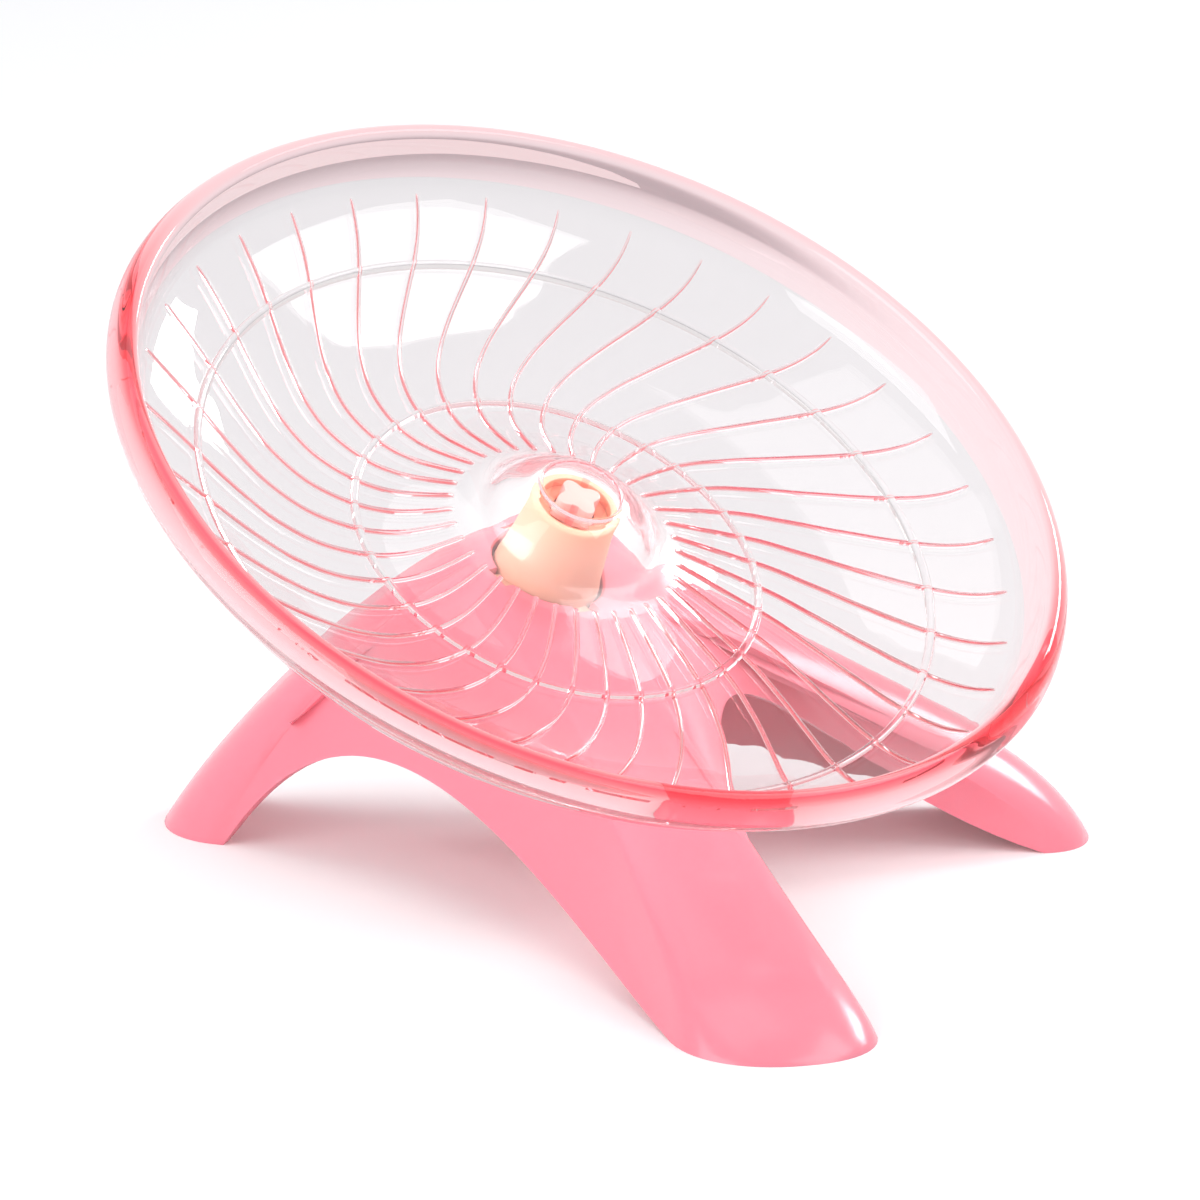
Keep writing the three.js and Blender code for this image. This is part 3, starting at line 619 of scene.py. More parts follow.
def recess_shade_mask(tree):
    """Where the recess's painted shade goes: 1 on the faces inside the recess in the housing's top, 0 elsewhere.
    """
    sizes = bpy.context.scene.unit_sizes
    place = add_node(tree, "ShaderNodeTexCoord").outputs["Object"]
    offset = vector_maths(tree, "SUBTRACT", place, lip_point)["Vector"]
    across = vector_maths(tree, "CROSS_PRODUCT", offset, axle_line)["Vector"]
    radius = vector_maths(tree, "LENGTH", across)["Value"]
    height = vector_maths(tree, "DOT_PRODUCT", offset, axle_line)["Value"]
    near = maths(tree, "LESS_THAN", radius, sizes.recess_radius + GAP)
    below = maths(tree, "LESS_THAN", height, -HOUSING_TOP_DEPTH - GAP)
    return maths(tree, "MULTIPLY", near, below)


def peach_material():
    colours = bpy.context.scene.saucer_colours
    material, tree, shader = moulded_material(
        "peach_plastic",
        colours.peach,
        variation=0.06,
        roughness=(0.5, 0.62),
        scales=(60, 1800),
        bump=0.05,
        Subsurface_Weight=0.15,
        Subsurface_Radius=(1.0, 0.6, 0.4),
        Subsurface_Scale=0.001,
    )
    # Painted shade: the faces inside the recess take the deeper recess colour
    mix_colour(tree, shader, recess_shade_mask(tree), colours.recess_shade)
    return material


def coral_material():
    coral = bpy.context.scene.saucer_colours.coral
    return moulded_material("coral_plastic", coral, 0.06, (0.35, 0.5), (90, 1800), 0.05, IOR=1.5)[0]


def metal_material(name, colour, roughness):
    return moulded_material(name, colour, 0.12, roughness, (400, 5000), 0.08, Metallic=1.0)[0]


def painted(thing, material):
    thing.data.materials.clear()
    thing.data.materials.append(material)


# Saucer


def rib_turn(sizes, radius):
    """Each rib is an S-curve: its swirl eases from full by the hub to none at the tip."""
    tip = sizes.rim_radius - RIB_TIP_MARGIN
    start = HUB_FOOT_RADIUS + RIB_SWIRL_START
    held = min(max(radius, HUB_FOOT_RADIUS), tip)
    travel = (held - start) / (tip - start)
    return sizes.rib_phase + sizes.rib_swirl * (1 + math.cos(math.pi * travel)) / 2


def top_line(sizes):
    """The dome and bowl's upper surface as points of a radius and a depth."""
    inner = sizes.rim_radius - sizes.lip_width
    places = [place for place, depth in DOME_LINE]
    depths = [depth for place, depth in DOME_LINE]
    for span, share in zip(BOWL_SPAN_SHARES, BOWL_DEPTH_SHARES):
        places.append(HUB_FOOT_RADIUS + (inner - HUB_FOOT_RADIUS) * span)
        depths.append(share * sizes.bowl_depth)
    return places, depths


def top_rows(sizes):
    """Rows of the upper surface: radius, floor depth, rib height and ring height."""
    tip = sizes.rim_radius - RIB_TIP_MARGIN
    inner_ring = HUB_FOOT_RADIUS + INNER_RING_MARGIN
    outer_ring = sizes.rim_radius - OUTER_RING_MARGIN
    half_ring = sizes.ring_width / 2
    fade = np.array([0.0, 0.06, 0.2, 0.45, 0.75, 1.0]) * RIB_FADE
    bump = np.array(BUMP_SHARES)
    lip_inner = sizes.rim_radius - sizes.lip_width
    radii = np.concatenate(
        [
            np.linspace(MIDDLE_RADIUS, ROOF_RADIUS, 4),
            DOME_RING_RADIUS + bump * DOME_RING_WIDTH / 2,
            np.linspace(*DOME_SPAN, 20),
            HUB_FOOT_RADIUS + fade,
            np.linspace(HUB_FOOT_RADIUS + RIB_FADE, inner_ring - half_ring, 13)[1:-1],
            inner_ring + bump * half_ring,
            np.linspace(inner_ring + half_ring, outer_ring - half_ring, 22)[1:-1],
            outer_ring + bump * half_ring,
            np.linspace(outer_ring + half_ring, tip - RIB_FADE, 8)[1:-1],
            tip - fade[::-1],
            np.linspace(tip, lip_inner, 9)[1:],
        ]
    )
    places, depths = top_line(sizes)
    floors = np.where(radii < places[0], DOME_TOP_DEPTH, smooth_line(places, depths, radii))
    rows = []
    for radius, floor in zip(radii, floors):
        near_hub = min(max((radius - HUB_FOOT_RADIUS) / RIB_FADE, 0), 1)
        near_tip = min(max((tip - radius) / RIB_FADE, 0), 1)
        rib = sizes.rib_height * math.sqrt(1 - (1 - min(near_hub, near_tip)) ** 2)
        ring = 0.0
        for middle, half, height in (
            (DOME_RING_RADIUS, DOME_RING_WIDTH / 2, DOME_RING_HEIGHT),
            (inner_ring, half_ring, sizes.rib_height),
            (outer_ring, half_ring, sizes.rib_height),
        ):
            off = min(abs(radius - middle) / half, 1)
            ring = max(ring, height * math.sqrt(1 - off * off))
        rows.append((radius, floor, rib, ring))
    return rows


def under_point(sizes, radius, line):
    """A point of the bowl's lower surface, one wall below the upper one and square to it."""
    step = sizes.bowl_wall / 8
    low = max(radius - step, HUB_FOOT_RADIUS)
    high = min(radius + step, sizes.rim_radius - sizes.lip_width)
    depth, before, after = smooth_line(line[0], line[1], [radius, low, high])
    slope = (after - before) / (high - low)
    length = math.hypot(1, slope)
    return radius - sizes.bowl_wall * slope / length, depth + sizes.bowl_wall / length


def round_rows(sizes):
    """Plain rows from the lip's root over the lip and along the underside to the hub."""
    line = top_line(sizes)
    lip_inner = sizes.rim_radius - sizes.lip_width
    lip = [
        (lip_inner + width * sizes.lip_width, height * sizes.lip_height - sizes.lip_rise)
        for width, height in zip(LIP_WIDTH_SHARES, LIP_HEIGHT_SHARES)
    ]
    below = lip_inner - LIP_ROOT_MARGIN
    start = (lip_inner, sizes.bowl_depth * BOWL_DEPTH_SHARES[-1])
    bend = [start, *lip, under_point(sizes, below, line)]
    rows = list(rounded_path(bend, 4))[1:]
    shares = np.linspace(0, 1, 34)[1:]
    rows += [under_point(sizes, below + (HUB_FOOT_RADIUS - below) * share, line) for share in shares]
    dome = [rows[-1], *DOME_UNDERSIDE, (ROOF_RADIUS, ROOF_DEPTH), (MIDDLE_RADIUS, ROOF_DEPTH)]
    rows += list(rounded_path(dome, 4))[1:]
    return rows


def sector_columns(sizes, radius):
    """Angles across one sector, from edge to edge, and the rib's height share at each."""
    half = math.pi / sizes.rib_count
    tip = sizes.rim_radius - RIB_TIP_MARGIN
    taper = min(1, RIB_TIP_SHARE + (1 - RIB_TIP_SHARE) * max(tip - radius, 0) / RIB_TAPER)
    rib = sizes.rib_width / 2 * taper / max(radius, HUB_FOOT_RADIUS)
    beyond = np.array([1.0, 0.72, 0.4, 0.15])
    columns = [(-rib - (half - rib) * share, 0.0) for share in beyond]
    columns += [(rib * share, math.sqrt(1 - share * share)) for share in BUMP_SHARES]
    columns += [(rib + (half - rib) * share, 0.0) for share in beyond[::-1]]
    return columns


def lip_painted_glow(sizes, radius, depth, outer):
    """How much painted red edge glow a place gets: most along the outer half of the lip's crest."""
    if not outer:
        return 0.0
    across = (radius - sizes.rim_radius + sizes.lip_width) / sizes.lip_width
    down = (depth + sizes.lip_rise) / sizes.lip_height
    if across < 0:
        return 0.0
    return float(np.interp(across + max(down - LIP_PAINTED_GLOW_DROP, 0), LIP_PAINTED_GLOW_PLACES, LIP_PAINTED_GLOW_SHARES))


def saucer_sector(sizes):
    """One rib's share of the saucer, closed except where it meets its neighbours."""
    points = [(0, 0, -DOME_TOP_DEPTH)]
    painted_glow_shares = [0.0]
    rows = [(*row, rib_turn(sizes, row[0])) for row in top_rows(sizes)]
    flat_turn = rib_turn(sizes, sizes.rim_radius)
    bowl_rows = len(rows)
    rows += [(radius, depth, 0.0, 0.0, flat_turn) for radius, depth in round_rows(sizes)]
    count = 0
    for index, (radius, depth, rib, ring, turn) in enumerate(rows):
        columns = sector_columns(sizes, radius)
        count = len(columns)
        # Painted red edge glow on the lip, and painted refraction lines on the dome's crown and on the ribs'
        # flanks
        lip_glow = lip_painted_glow(sizes, radius, depth, index >= bowl_rows)
        crown = float(np.interp(radius, DOME_PAINTED_REFRACTION_PLACES, DOME_PAINTED_REFRACTION_SHARES)) if index < bowl_rows else 0.0
        for angle, share in columns:
            height = max(rib * share, ring)
            rib_painted_refraction = RIB_PAINTED_REFRACTION * 4 * share * (1 - share) * rib / sizes.rib_height
            painted_glow_shares.append(max(lip_glow, crown, rib_painted_refraction))
            points.append(round_axle(radius, turn + angle, depth - height))
    points.append((0, 0, -ROOF_DEPTH))
    painted_glow_shares.append(0.0)
    faces = []
    last = len(points) - 1
    for k in range(count - 1):
        faces.append((0, 1 + k, 2 + k))
        tail = last - count + k
        faces.append((last, tail + 1, tail))
        for row in range(len(rows) - 1):
            here = 1 + row * count + k
            below = here + count
            faces.append((here, below, below + 1, here + 1))
    return points, faces, painted_glow_shares


def mark(mesh, name, values):
    mesh.attributes.new(name, "FLOAT", "POINT").data.foreach_set("value", np.asarray(values, float))


def share_painted_glow(saucer, sizes):
    """Weakens the painted edge glow on the lip away from one heading, and marks the solid places, the dome's
    painted light and the haze.
    """
    mesh = saucer.data
    places = np.empty(len(mesh.vertices) * 3)
    mesh.vertices.foreach_get("co", places)
    places = places.reshape(-1, 3)
    radii = np.hypot(places[:, 0], places[:, 1])
    turns = np.arctan2(places[:, 1], places[:, 0])
    in_lip = radii > sizes.rim_radius - sizes.lip_width
    # Painted edge glow: weaker on the lip away from one heading
    held = np.clip((np.cos(turns - LIP_PAINTED_GLOW_HEADING) + LIP_PAINTED_GLOW_START) / LIP_PAINTED_GLOW_BLEND, 0, 1)
    held = LIP_PAINTED_GLOW_LEAST + (1 - LIP_PAINTED_GLOW_LEAST) * held * held * (3 - 2 * held)
    painted_glow_shares = np.empty(len(mesh.vertices))
    mesh.attributes["dye"].data.foreach_get("value", painted_glow_shares)
    mesh.attributes["dye"].data.foreach_set("value", np.where(in_lip, painted_glow_shares * held, painted_glow_shares))
    mark(mesh, "solid", in_lip)
    # Painted light: the tint over the dome is paled
    mark(mesh, "dome_painted_light", np.interp(radii, DOME_PAINTED_LIGHT_PLACES, DOME_PAINTED_LIGHT_SHARES))
    glow = HAZE_LEAST + (1 - HAZE_LEAST) * (0.5 + 0.5 * np.cos(turns - HAZE_HEADING))
    glow *= np.interp(radii, HAZE_PLACES, HAZE_SHARES)
    mark(mesh, "haze", np.where(places[:, 2] > -HAZE_BOTTOM_DEPTH, glow, 0))


def make_saucer():
    sizes = bpy.context.scene.saucer_sizes
    points, faces, painted_glow_shares = saucer_sector(sizes)
    saucer = new_object("saucer_bowl", points, faces)
    # The dye attribute carries the painted red edge glow and refraction lines
    mark(saucer.data, "dye", painted_glow_shares)
    material = clear_material()
    copy_round(saucer, sizes.rib_count, 0.0, material, 2e-6)
    settle(saucer)
    share_painted_glow(saucer, sizes)
    saucer.data.transform(lean)
    shade(saucer, math.radians(50))
    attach(saucer, "saucer")
    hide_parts("saucer")
    key = (KEY_INNER_RADIUS, KEY_OUTER_RADIUS, KEY_WIDTH, ROOF_DEPTH + KEY_SEAT_GAP, ROOF_DEPTH + KEY_LENGTH)
    keys = blocks_round("saucer_keys", key, DOG_LOBES, math.pi / DOG_LOBES, material)
    mark(keys.data, "solid", np.ones(len(keys.data.vertices)))
    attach(keys, "saucer")


# Stand


def heading(angle):
    return np.array([math.cos(angle), math.sin(angle), 0.0])


def on_axis(radius, angle, depth):
    """A place round the leaning axle in the frame."""
    return np.array(lean @ Vector(round_axle(radius, angle, depth)))


def ground_point():
    """The point on the ground under the middle of the collar."""
    collar = lip_point - axle_line * COLLAR_DEPTH
    return np.array([collar.x, collar.y, 0.0]), collar.z


def stand_legs(sizes):
    centre = ground_point()[0]
    middle = BACK_AZIMUTH + math.pi
    low = dict(
        azimuth=middle - FRONT_SPREAD,
        toe=middle - FRONT_SPREAD - LOW_TOE_TURN,
        reach=LOW_REACH,
        depth=LOW_FOOT_DEPTH,
        half_width=sizes.foot_half_width,
        drop=0.012,
        rise=0.014,
        run=0.014,
        side_rise=0.010,
        side_run=0.004,
    )
    side = dict(
        azimuth=middle + FRONT_SPREAD,
        toe=middle + FRONT_SPREAD - SIDE_TOE_TURN,
        reach=SIDE_REACH,
        depth=SIDE_FOOT_DEPTH,
        half_width=HIGH_FOOT_HALF_WIDTH,
        drop=0.024,
        rise=sizes.toe_rise,
        run=sizes.toe_run,
        side_rise=0.012,
        side_run=0.0025,
    )
    back = dict(side, azimuth=BACK_AZIMUTH + math.tau, toe=BACK_AZIMUTH + math.tau + BACK_TOE_TURN)
    back.update(reach=BACK_REACH, depth=BACK_FOOT_DEPTH, drop=0.035)
    legs = [low, side, back]
    for leg in legs:
        leg["middle"] = centre + heading(leg["azimuth"]) * leg["reach"]
    return legs


def foot_point(leg, share):
    turn = math.pi * share
    across = -math.copysign(abs(math.cos(turn)) ** FOOT_CORNER_SHARE, math.cos(turn))
    along = abs(math.sin(turn)) ** FOOT_CORNER_SHARE
    return (
        leg["middle"]
        + heading(leg["toe"]) * along * leg["depth"]
        + heading(leg["toe"] + math.pi / 2) * across * leg["half_width"]
    )


def arch_point(arch, leg, next_leg, share):
    start = foot_point(leg, 1)
    end = foot_point(next_leg, 0)
    controls = [
        start,
        start - heading(leg["toe"] + arch["turn"]) * arch["runs"][0],
        end - heading(next_leg["toe"] - arch["turn"]) * arch["runs"][1],
        end,
    ]
    point = bezier(controls, share)
    point[2] = bezier([[0.0], *[[height] for height in arch["heights"]], [0.0]], share)[0]
    return point


def edge_places(sizes):
    """The stand's lower edge as places, with what shapes the wall above each."""
    legs = stand_legs(sizes)
    front_heights = FRONT_ARCH_HEIGHTS + FRONT_ARCH_HEIGHTS[::-1]
    arches = [
        dict(runs=(FRONT_ARCH_RUN, FRONT_ARCH_RUN), turn=FRONT_ARCH_TURN, heights=front_heights),
        dict(runs=(SIDE_ARCH_FRONT_RUN, SIDE_ARCH_BACK_RUN), turn=0.0, heights=SIDE_ARCH_HEIGHTS[::-1]),
        dict(runs=(SIDE_ARCH_BACK_RUN, SIDE_ARCH_FRONT_RUN), turn=0.0, heights=SIDE_ARCH_HEIGHTS),
    ]
    foot_steps = 30
    arch_steps = 44
    places = []
    for index, leg in enumerate(legs):
        for k in range(foot_steps):
            share = k / foot_steps
            swell = math.sin(math.pi * share) ** 2
            places.append(
                dict(
                    edge=foot_point(leg, share),
                    root=leg["azimuth"] - ROOT_SPAN + 2 * ROOT_SPAN * share,
                    rise=leg["side_rise"] + (leg["rise"] - leg["side_rise"]) * swell,
                    run=leg["side_run"] + (leg["run"] - leg["side_run"]) * swell,
                    drop=leg["drop"],
                )
            )
        beside = legs[(index + 1) % 3]
        beside_azimuth = beside["azimuth"] + (math.tau if index == 2 else 0.0)
        for k in range(arch_steps):
            share = k / arch_steps
            blend = (1 - math.cos(math.pi * share)) / 2
            swell = math.sin(math.pi * share)
            keys = ("side_rise", "side_run", "drop")
            mixed = {key: leg[key] + (beside[key] - leg[key]) * blend for key in keys}
            start = leg["azimuth"] + ROOT_SPAN
            places.append(
                dict(
                    edge=arch_point(arches[index], leg, beside, share),
                    root=start + (beside_azimuth - ROOT_SPAN - start) * share,
                    rise=mixed["side_rise"] + (ARCH_DROP - mixed["side_rise"]) * swell,
                    run=mixed["side_run"],
                    drop=mixed["drop"] + (ARCH_DROP - mixed["drop"]) * swell,
                )
            )
    return places


def evened(values, reach):
    """Each value of a closed line averaged with its neighbours."""
    values = np.asarray(values, float)
    weights = 1 - np.abs(np.arange(-reach, reach + 1)) / (reach + 1)
    total = sum(weight * np.roll(values, -k, axis=0) for k, weight in zip(range(-reach, reach + 1), weights))
    return total / weights.sum()


def stand_surface(sizes):
    """Rows of the outer face, from the collar's bore to the lower edge."""
    centre, collar_height = ground_point()
    places = edge_places(sizes)
    edges = np.array([place["edge"] for place in places])
    along = np.roll(edges, -1, axis=0) - np.roll(edges, 1, axis=0)
    outward = np.stack([along[:, 1], -along[:, 0], np.zeros(len(places))], axis=1)
    outward /= np.linalg.norm(outward, axis=1, keepdims=True)
    outward = evened(outward, 5)
    outward /= np.linalg.norm(outward, axis=1, keepdims=True)
    lines = []
    for place, way in zip(places, outward):
        bore = on_axis(BORE_RADIUS - BORE_INSET, place["root"], COLLAR_TOP_DEPTH)
        crown = on_axis(COLLAR_CROWN_RADIUS, place["root"], COLLAR_TOP_DEPTH)
        wall_top = place["edge"] - way * place["run"]
        wall_top[2] += place["rise"]
        shoulder = (crown + wall_top) / 2
        crest = collar_height + (shoulder[1] - centre[1]) * math.tan(tilt) - place["drop"]
        shoulder[2] = max(crest, wall_top[2])
        lines.append((bore, crown, shoulder, wall_top, place["edge"]))
    controls = [np.array(points) for points in zip(*lines)]
    first = 0.034
    shares = first + (1 - first) * np.linspace(0, 1, 42)
    return np.array([bezier(controls, share) for share in shares])


def inset_rows(rows, wall):
    """The inner face, one wall inside the outer one and never below the lower edge."""
    along = np.roll(rows, -1, axis=1) - np.roll(rows, 1, axis=1)
    down = np.empty_like(rows)
    down[1:-1] = rows[2:] - rows[:-2]
    down[0] = rows[1] - rows[0]
    down[-1] = rows[-1] - rows[-2]
    normals = np.cross(down, along)
    normals[-1, :, 2] = 0
    normals /= np.linalg.norm(normals, axis=2, keepdims=True)
    inner = rows - normals * wall
    inner[..., 2] = np.maximum(inner[..., 2], rows[-1, :, 2])
    return inner


def make_stand():
    sizes = bpy.context.scene.stand_sizes
    outer = stand_surface(sizes)
    inner = inset_rows(outer, sizes.wall)
    to_axle = np.array(lean.inverted())
    first = outer[0] @ to_axle[:3, :3].T + to_axle[:3, 3]
    angles = np.arctan2(first[:, 1], first[:, 0])

    def ring(radius, depth):
        return np.array([on_axis(radius, angle, depth) for angle in angles])

    local = inner @ to_axle[:3, :3].T + to_axle[:3, 3]
    reach = np.hypot(local[..., 0], local[..., 1]).min(axis=1)
    socket = BORE_RADIUS + SOCKET_WALL
    start = int(np.argmax(reach > socket + SOCKET_CLEARANCE))
    bottom = COLLAR_TOP_DEPTH + SOCKET_LENGTH
    ease = SOCKET_EASE
    rings = [ring(BORE_RADIUS, COLLAR_TOP_DEPTH + ease), ring(BORE_RADIUS + ease, COLLAR_TOP_DEPTH)]
    rings += list(outer[1:])
    rings += list(inner[:start - 1:-1])
    rings += [ring(socket, COLLAR_TOP_DEPTH + sizes.wall + SOCKET_ROOT), ring(socket, bottom - ease)]
    rings += [ring(socket - ease, bottom), ring(BORE_RADIUS + ease, bottom), ring(BORE_RADIUS, bottom - ease)]
    points = np.concatenate(rings)
    stand = new_object("stand_shell", points, loop_faces(len(rings), len(angles)))
    settle(stand)
    corners = []
    for k in range(NOTCHES):
        angle = NOTCH_PHASE + k / NOTCHES * math.tau
        corners += block_points(
            BORE_RADIUS - NOTCH_OVERRUN,
            BORE_RADIUS + NOTCH_REACH,
            NOTCH_WIDTH,
            COLLAR_TOP_DEPTH - 2 * NOTCH_OVERRUN,
            COLLAR_TOP_DEPTH + NOTCH_DEPTH,
            angle,
        )
    faces = [tuple(8 * k + corner for corner in face) for k in range(NOTCHES) for face in BLOCK_FACES]
    cutter = new_object("notch_cutter", corners, faces)
    cutter.data.transform(lean)
    settle(cutter)
    cut = stand.modifiers.new("notches", "BOOLEAN")
    cut.operation = "DIFFERENCE"
    cut.solver = "EXACT"
    cut.object = cutter
    make_plain(stand)
    bpy.data.objects.remove(cutter)
    round_edges(stand, "edges", sizes.edge_round, math.radians(50))
    shade(stand, math.radians(42))
    painted(stand, pink_material())
    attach(stand, "stand")
    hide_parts("stand")


# Bearing unit


def make_housing():
    sizes = bpy.context.scene.unit_sizes
    edge = HOUSING_EDGE
    profile = [
        (CAP_SEAT_RADIUS, HOUSING_BOTTOM_DEPTH),
        (sizes.housing_radius, HOUSING_BOTTOM_DEPTH),
        (sizes.housing_radius, COLLAR_TOP_DEPTH),
        (sizes.housing_top_radius, HOUSING_TOP_DEPTH + edge),
        (sizes.housing_top_radius - edge * 0.3, HOUSING_TOP_DEPTH + edge * 0.3),
        (sizes.housing_top_radius - edge, HOUSING_TOP_DEPTH),
        (sizes.recess_radius, HOUSING_TOP_DEPTH),
        (sizes.recess_radius, SEAT_LEDGE_DEPTH),
        (RACE_SEAT_RADIUS, SEAT_LEDGE_DEPTH),
        (RACE_SEAT_RADIUS, UPPER_SHOULDER_DEPTH),
        (HOUSING_BORE_RADIUS, UPPER_SHOULDER_DEPTH),
        (HOUSING_BORE_RADIUS, LOWER_SHOULDER_DEPTH),
        (RACE_SEAT_RADIUS, LOWER_SHOULDER_DEPTH),
        (RACE_SEAT_RADIUS, CAP_SEAT_DEPTH),
        (CAP_SEAT_RADIUS, CAP_SEAT_DEPTH),
    ]
    housing = turned_object("housing_tube", profile, bevel=0.00015)
    material = peach_material()
    painted(housing, material)
    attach(housing, "stand")
    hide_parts("bearing_housing")
    seal = turned_object(
        "housing_seal",
        [
            (SEAL_BORE_RADIUS, SEAL_BOTTOM_DEPTH),
            (SEAL_RADIUS, SEAL_BOTTOM_DEPTH),
            (SEAL_RADIUS, SEAL_TOP_DEPTH),
            (SEAL_BORE_RADIUS, SEAL_TOP_DEPTH),
        ],
        bevel=0.00005,
    )
    painted(seal, material)
    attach(seal, "stand")
    lug = (
        sizes.housing_radius - LUG_ROOT,
        BORE_RADIUS + NOTCH_REACH - 2 * GAP,
        NOTCH_WIDTH - 4 * GAP,
        COLLAR_TOP_DEPTH + 5 * GAP,
        COLLAR_TOP_DEPTH + NOTCH_DEPTH - GAP,
    )
    lugs = blocks_round("housing_lugs", lug, NOTCHES, NOTCH_PHASE, material)
    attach(lugs, "stand")
    flange = HOUSING_BOTTOM_DEPTH + GAP
    plug_radius = CAP_SEAT_RADIUS - GAP
    cap = turned_object(
        "housing_end_cap",
        [
            (0.0, flange + CAP_FLANGE),
            (sizes.housing_radius, flange + CAP_FLANGE),
            (sizes.housing_radius, flange),
            (plug_radius, flange),
            (plug_radius, HOUSING_BOTTOM_DEPTH - CAP_PLUG),
            (0.0, HOUSING_BOTTOM_DEPTH - CAP_PLUG),
        ],
        bevel=0.0002,
    )
    painted(cap, material)
    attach(cap, "stand")
    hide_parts("housing_cap")


def make_dog():
    sizes = bpy.context.scene.unit_sizes
    top = ROOF_DEPTH + GAP
    bottom = top + DOG_THICKNESS
    sides = 96
    middle = (sizes.lobe_radius + sizes.valley_radius) / 2
    swing = (sizes.lobe_radius - sizes.valley_radius) / 2
    lobed = [(0.0, top), (0.9, top), (0.965, top + 0.0001), (1.0, top + 0.0004), (1.0, bottom)]
    hub = [
        (DOG_HUB_RADIUS, bottom),
        (DOG_HUB_RADIUS, bottom + DOG_HUB_LENGTH),
        (DOG_BORE_RADIUS, bottom + DOG_HUB_LENGTH),
        (DOG_BORE_RADIUS, bottom - DOG_BORE_DEPTH),
        (0.0, bottom - DOG_BORE_DEPTH),
    ]
    points = []
    for index, (size, depth) in enumerate(lobed + hub):
        for k in range(sides):
            angle = k / sides * math.tau
            outline = middle + swing * math.cos(DOG_LOBES * angle)
            if index < len(lobed):
                radius = size * outline
            elif depth == bottom:
                radius = min(size, outline)
            else:
                radius = size
            points.append(round_axle(radius, angle, depth))
    dog = new_object("drive_dog_lobed", points, loop_faces(len(lobed) + len(hub), sides))
    settle(dog, merge=1e-6)
    dog.data.transform(lean)
    shade(dog, math.radians(38))
    painted(dog, coral_material())
    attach(dog, "saucer")
    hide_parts("drive_dog")


def dress_hidden_parts():
    colours = bpy.context.scene.saucer_colours
    materials = {
        "bearing_steel": metal_material("bearing_steel", colours.steel, (0.2, 0.34)),
        "brass": metal_material("cage_brass", colours.brass, (0.24, 0.4)),
    }
    for row in frame["record"]["subparts"]:
        material = materials.get(row["material_slot"])
        if material:
            painted(frame["nodes"][row["node"]], material)


# Stage


CAMERA_PLACE = (-0.81887, -1.09884, 0.4550)
CAMERA_RIGHT = (0.81342, -0.57976, 0.04712)
CAMERA_UP = (0.12604, 0.25476, 0.95875)
CAMERA_LENS = 240
FLOOR_REACH = 6.0
FLOOR_GLOW = 0.08
WORLD_COLOUR = (0.95, 0.96, 1.0)
WORLD_STRENGTH = 0.54
LAMP_TARGET = (0, 0, 0.06)

# Lamps: name, heading from +X, height angle, distance, width, height and power
LAMPS = (
    ("softbox", math.radians(-42), math.radians(49), 1.5, 1.05, 0.62, 6.4),
    ("side", math.radians(6), math.radians(27), 1.5, 0.4, 0.32, 5.6),
    ("top", math.radians(100), math.radians(78), 1.6, 1.2, 1.2, 4.6),
    ("fill", math.radians(184), math.radians(30), 1.5, 1.3, 0.9, 10.5),
)


def area_light(name, place, target, width, height, power):
    lamp = bpy.data.lights.new(name, "AREA")
    lamp.shape = "RECTANGLE"
    lamp.size = width
    lamp.size_y = height
    lamp.energy = power
    thing = bpy.data.objects.new(name, lamp)
    thing.location = place
    thing.rotation_euler = (Vector(target) - Vector(place)).to_track_quat("-Z", "Y").to_euler()
    bpy.context.scene.collection.objects.link(thing)


def seen_rays(tree):
    """A mask that is 1 for camera, glossy and transmission rays."""
    path = add_node(tree, "ShaderNodeLightPath").outputs
    first = maths(tree, "MAXIMUM", path["Is Camera Ray"], path["Is Glossy Ray"])
    return maths(tree, "MAXIMUM", first, path["Is Transmission Ray"])


def make_floor():
    floor_colour = bpy.context.scene.saucer_colours.floor
    corners = [(x * FLOOR_REACH, y * FLOOR_REACH, 0) for x, y in ((-1, -1), (1, -1), (1, 1), (-1, 1))]
    floor = new_object("floor", corners, [(0, 1, 2, 3)])
    material, tree, shader = start_material("floor")
    feed(tree, shader, {"Base Color": (*floor_colour, 1), "Roughness": 0.7, "Specular IOR Level": 0.2})
    glow = {"Strength": maths(tree, "MULTIPLY", seen_rays(tree), FLOOR_GLOW)}
    both = {0: shader.outputs[0], 1: add_node(tree, "ShaderNodeEmission", glow).outputs[0]}
    surface = add_node(tree, "ShaderNodeAddShader", both).outputs[0]
    feed(tree, node_of(tree, "OUTPUT_MATERIAL"), {"Surface": surface})
    painted(floor, material)


def make_world():
    world = bpy.data.worlds.new("studio")
    world.use_nodes = True
    tree = world.node_tree
    back = node_of(tree, "BACKGROUND")
    feed(tree, back, {"Color": (*WORLD_COLOUR, 1), "Strength": WORLD_STRENGTH})
    white = add_node(tree, "ShaderNodeBackground", {"Color": (1, 1, 1, 1), "Strength": 1.0})
    surface = mix_shaders(tree, seen_rays(tree), back.outputs[0], white.outputs[0])
    feed(tree, node_of(tree, "OUTPUT_WORLD"), {"Surface": surface})
    bpy.context.scene.world = world


def make_camera():
    right = Vector(CAMERA_RIGHT).normalized()
    up = Vector(CAMERA_UP)
    up = (up - right * up.dot(right)).normalized()
    back = right.cross(up)
    lens = bpy.data.cameras.new("photo_view")
    lens.lens = CAMERA_LENS
    lens.sensor_width = 36
    lens.clip_start = 0.05
    lens.clip_end = 40
    camera = bpy.data.objects.new("photo_view", lens)
    turn = Matrix((right, up, back)).transposed().to_4x4()
    camera.matrix_world = Matrix.Translation(CAMERA_PLACE) @ turn
    bpy.context.scene.collection.objects.link(camera)
    bpy.context.scene.camera = camera


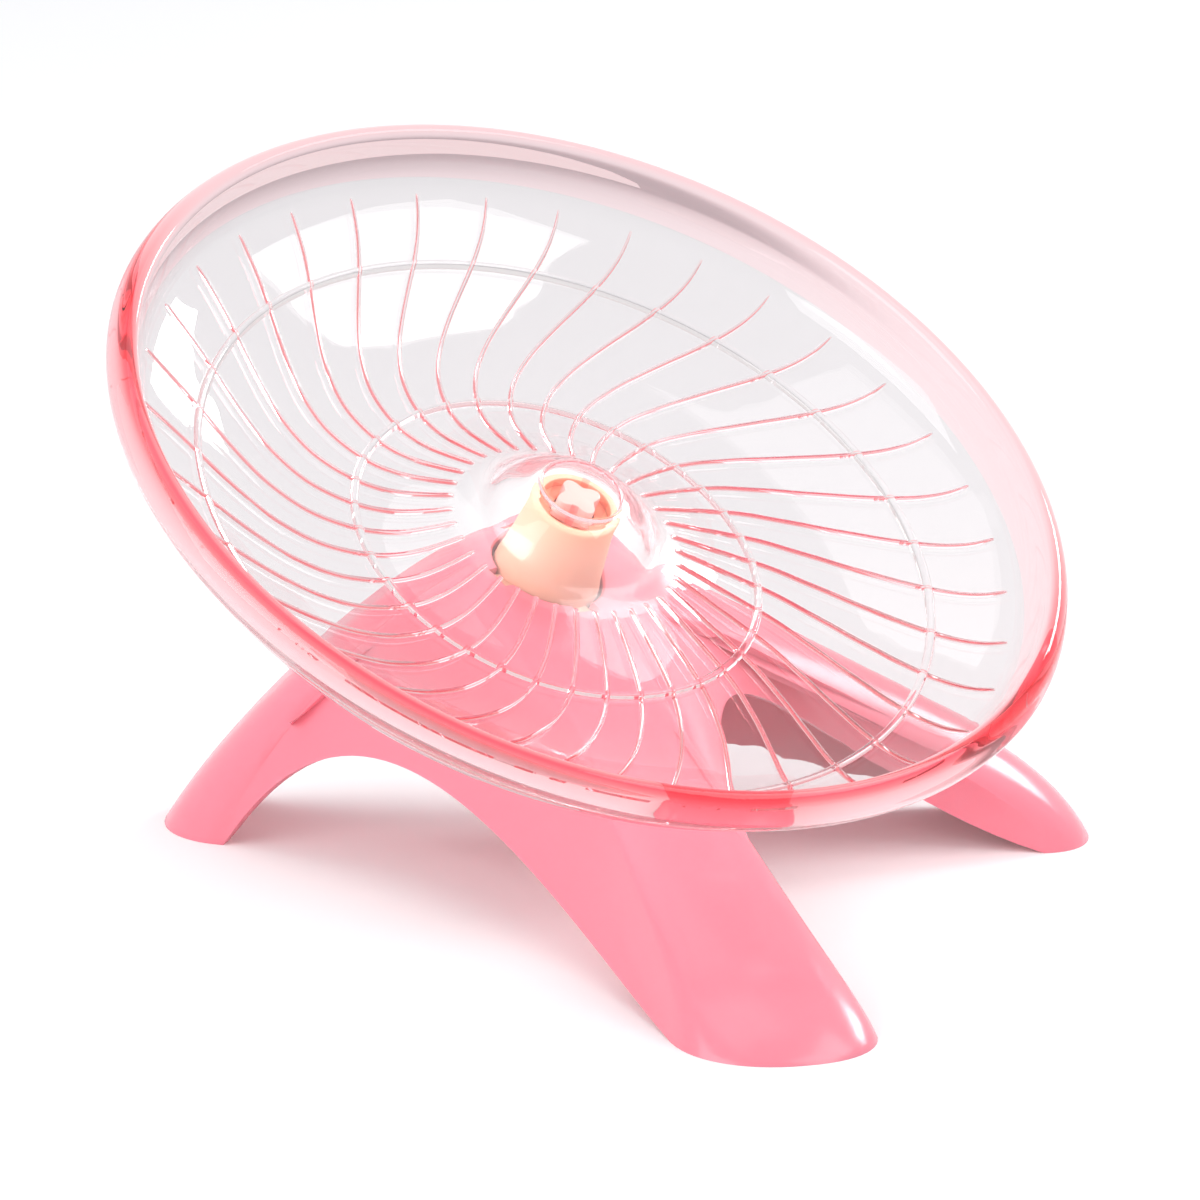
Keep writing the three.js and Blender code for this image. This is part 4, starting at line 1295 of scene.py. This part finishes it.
def make_stage():
    make_floor()
    make_world()
    for name, turn, rise, distance, width, height, power in LAMPS:
        way = Vector((math.cos(turn) * math.cos(rise), math.sin(turn) * math.cos(rise), math.sin(rise)))
        area_light(name, Vector(LAMP_TARGET) + distance * way, LAMP_TARGET, width, height, power)
    make_camera()
    bpy.context.scene.view_settings.view_transform = "Standard"


# Operators


class SAUCER_OT_stage(bpy.types.Operator):
    """Make the floor, the light and the camera"""

    bl_idname = "saucer.stage"
    bl_label = "Stage"

    def execute(self, context):
        make_stage()
        return {"FINISHED"}


class SAUCER_OT_bowl(bpy.types.Operator):
    """Make the clear ribbed saucer and its keys"""

    bl_idname = "saucer.bowl"
    bl_label = "Saucer"

    def execute(self, context):
        make_saucer()
        return {"FINISHED"}


class SAUCER_OT_stand(bpy.types.Operator):
    """Make the moulded stand"""

    bl_idname = "saucer.stand"
    bl_label = "Stand"

    def execute(self, context):
        make_stand()
        return {"FINISHED"}


class SAUCER_OT_housing(bpy.types.Operator):
    """Make the bearing housing, its seal, lugs and cap"""

    bl_idname = "saucer.housing"
    bl_label = "Bearing Housing"

    def execute(self, context):
        make_housing()
        return {"FINISHED"}


class SAUCER_OT_dog(bpy.types.Operator):
    """Make the lobed drive dog"""

    bl_idname = "saucer.dog"
    bl_label = "Drive Dog"

    def execute(self, context):
        make_dog()
        return {"FINISHED"}


class SAUCER_OT_hidden(bpy.types.Operator):
    """Give the axle, bearings and their small parts a metal finish"""

    bl_idname = "saucer.hidden"
    bl_label = "Axle and Bearings"

    def execute(self, context):
        dress_hidden_parts()
        return {"FINISHED"}


class SAUCER_PT_panel(bpy.types.Panel):
    """Lists the pieces of the running saucer"""

    bl_label = "Running Saucer"
    bl_idname = "SAUCER_PT_panel"
    bl_space_type = "VIEW_3D"
    bl_region_type = "UI"
    bl_category = "Running Saucer"

    def draw(self, context):
        for name in STEPS:
            self.layout.operator("saucer." + name)
        for name in GROUPS:
            sizes = getattr(context.scene, name)
            box = self.layout.box()
            for key in sizes.bl_rna.properties.keys():
                if key not in ("rna_type", "name"):
                    box.prop(sizes, key)


STEPS = ("stage", "bowl", "stand", "housing", "dog", "hidden")
GROUPS = {
    "saucer_sizes": SaucerSizes,
    "stand_sizes": StandSizes,
    "unit_sizes": UnitSizes,
    "saucer_colours": Colours,
}
CLASSES = (
    *GROUPS.values(),
    SAUCER_OT_stage,
    SAUCER_OT_bowl,
    SAUCER_OT_stand,
    SAUCER_OT_housing,
    SAUCER_OT_dog,
    SAUCER_OT_hidden,
    SAUCER_PT_panel,
)


def register():
    for kind in CLASSES:
        bpy.utils.register_class(kind)
    for name, kind in GROUPS.items():
        setattr(bpy.types.Scene, name, PointerProperty(type=kind))


def unregister():
    for name in GROUPS:
        delattr(bpy.types.Scene, name)
    for kind in reversed(CLASSES):
        bpy.utils.unregister_class(kind)


def main():
    register()
    for name in STEPS:
        getattr(bpy.ops.saucer, name)()


if __name__ == "__main__":
    main()
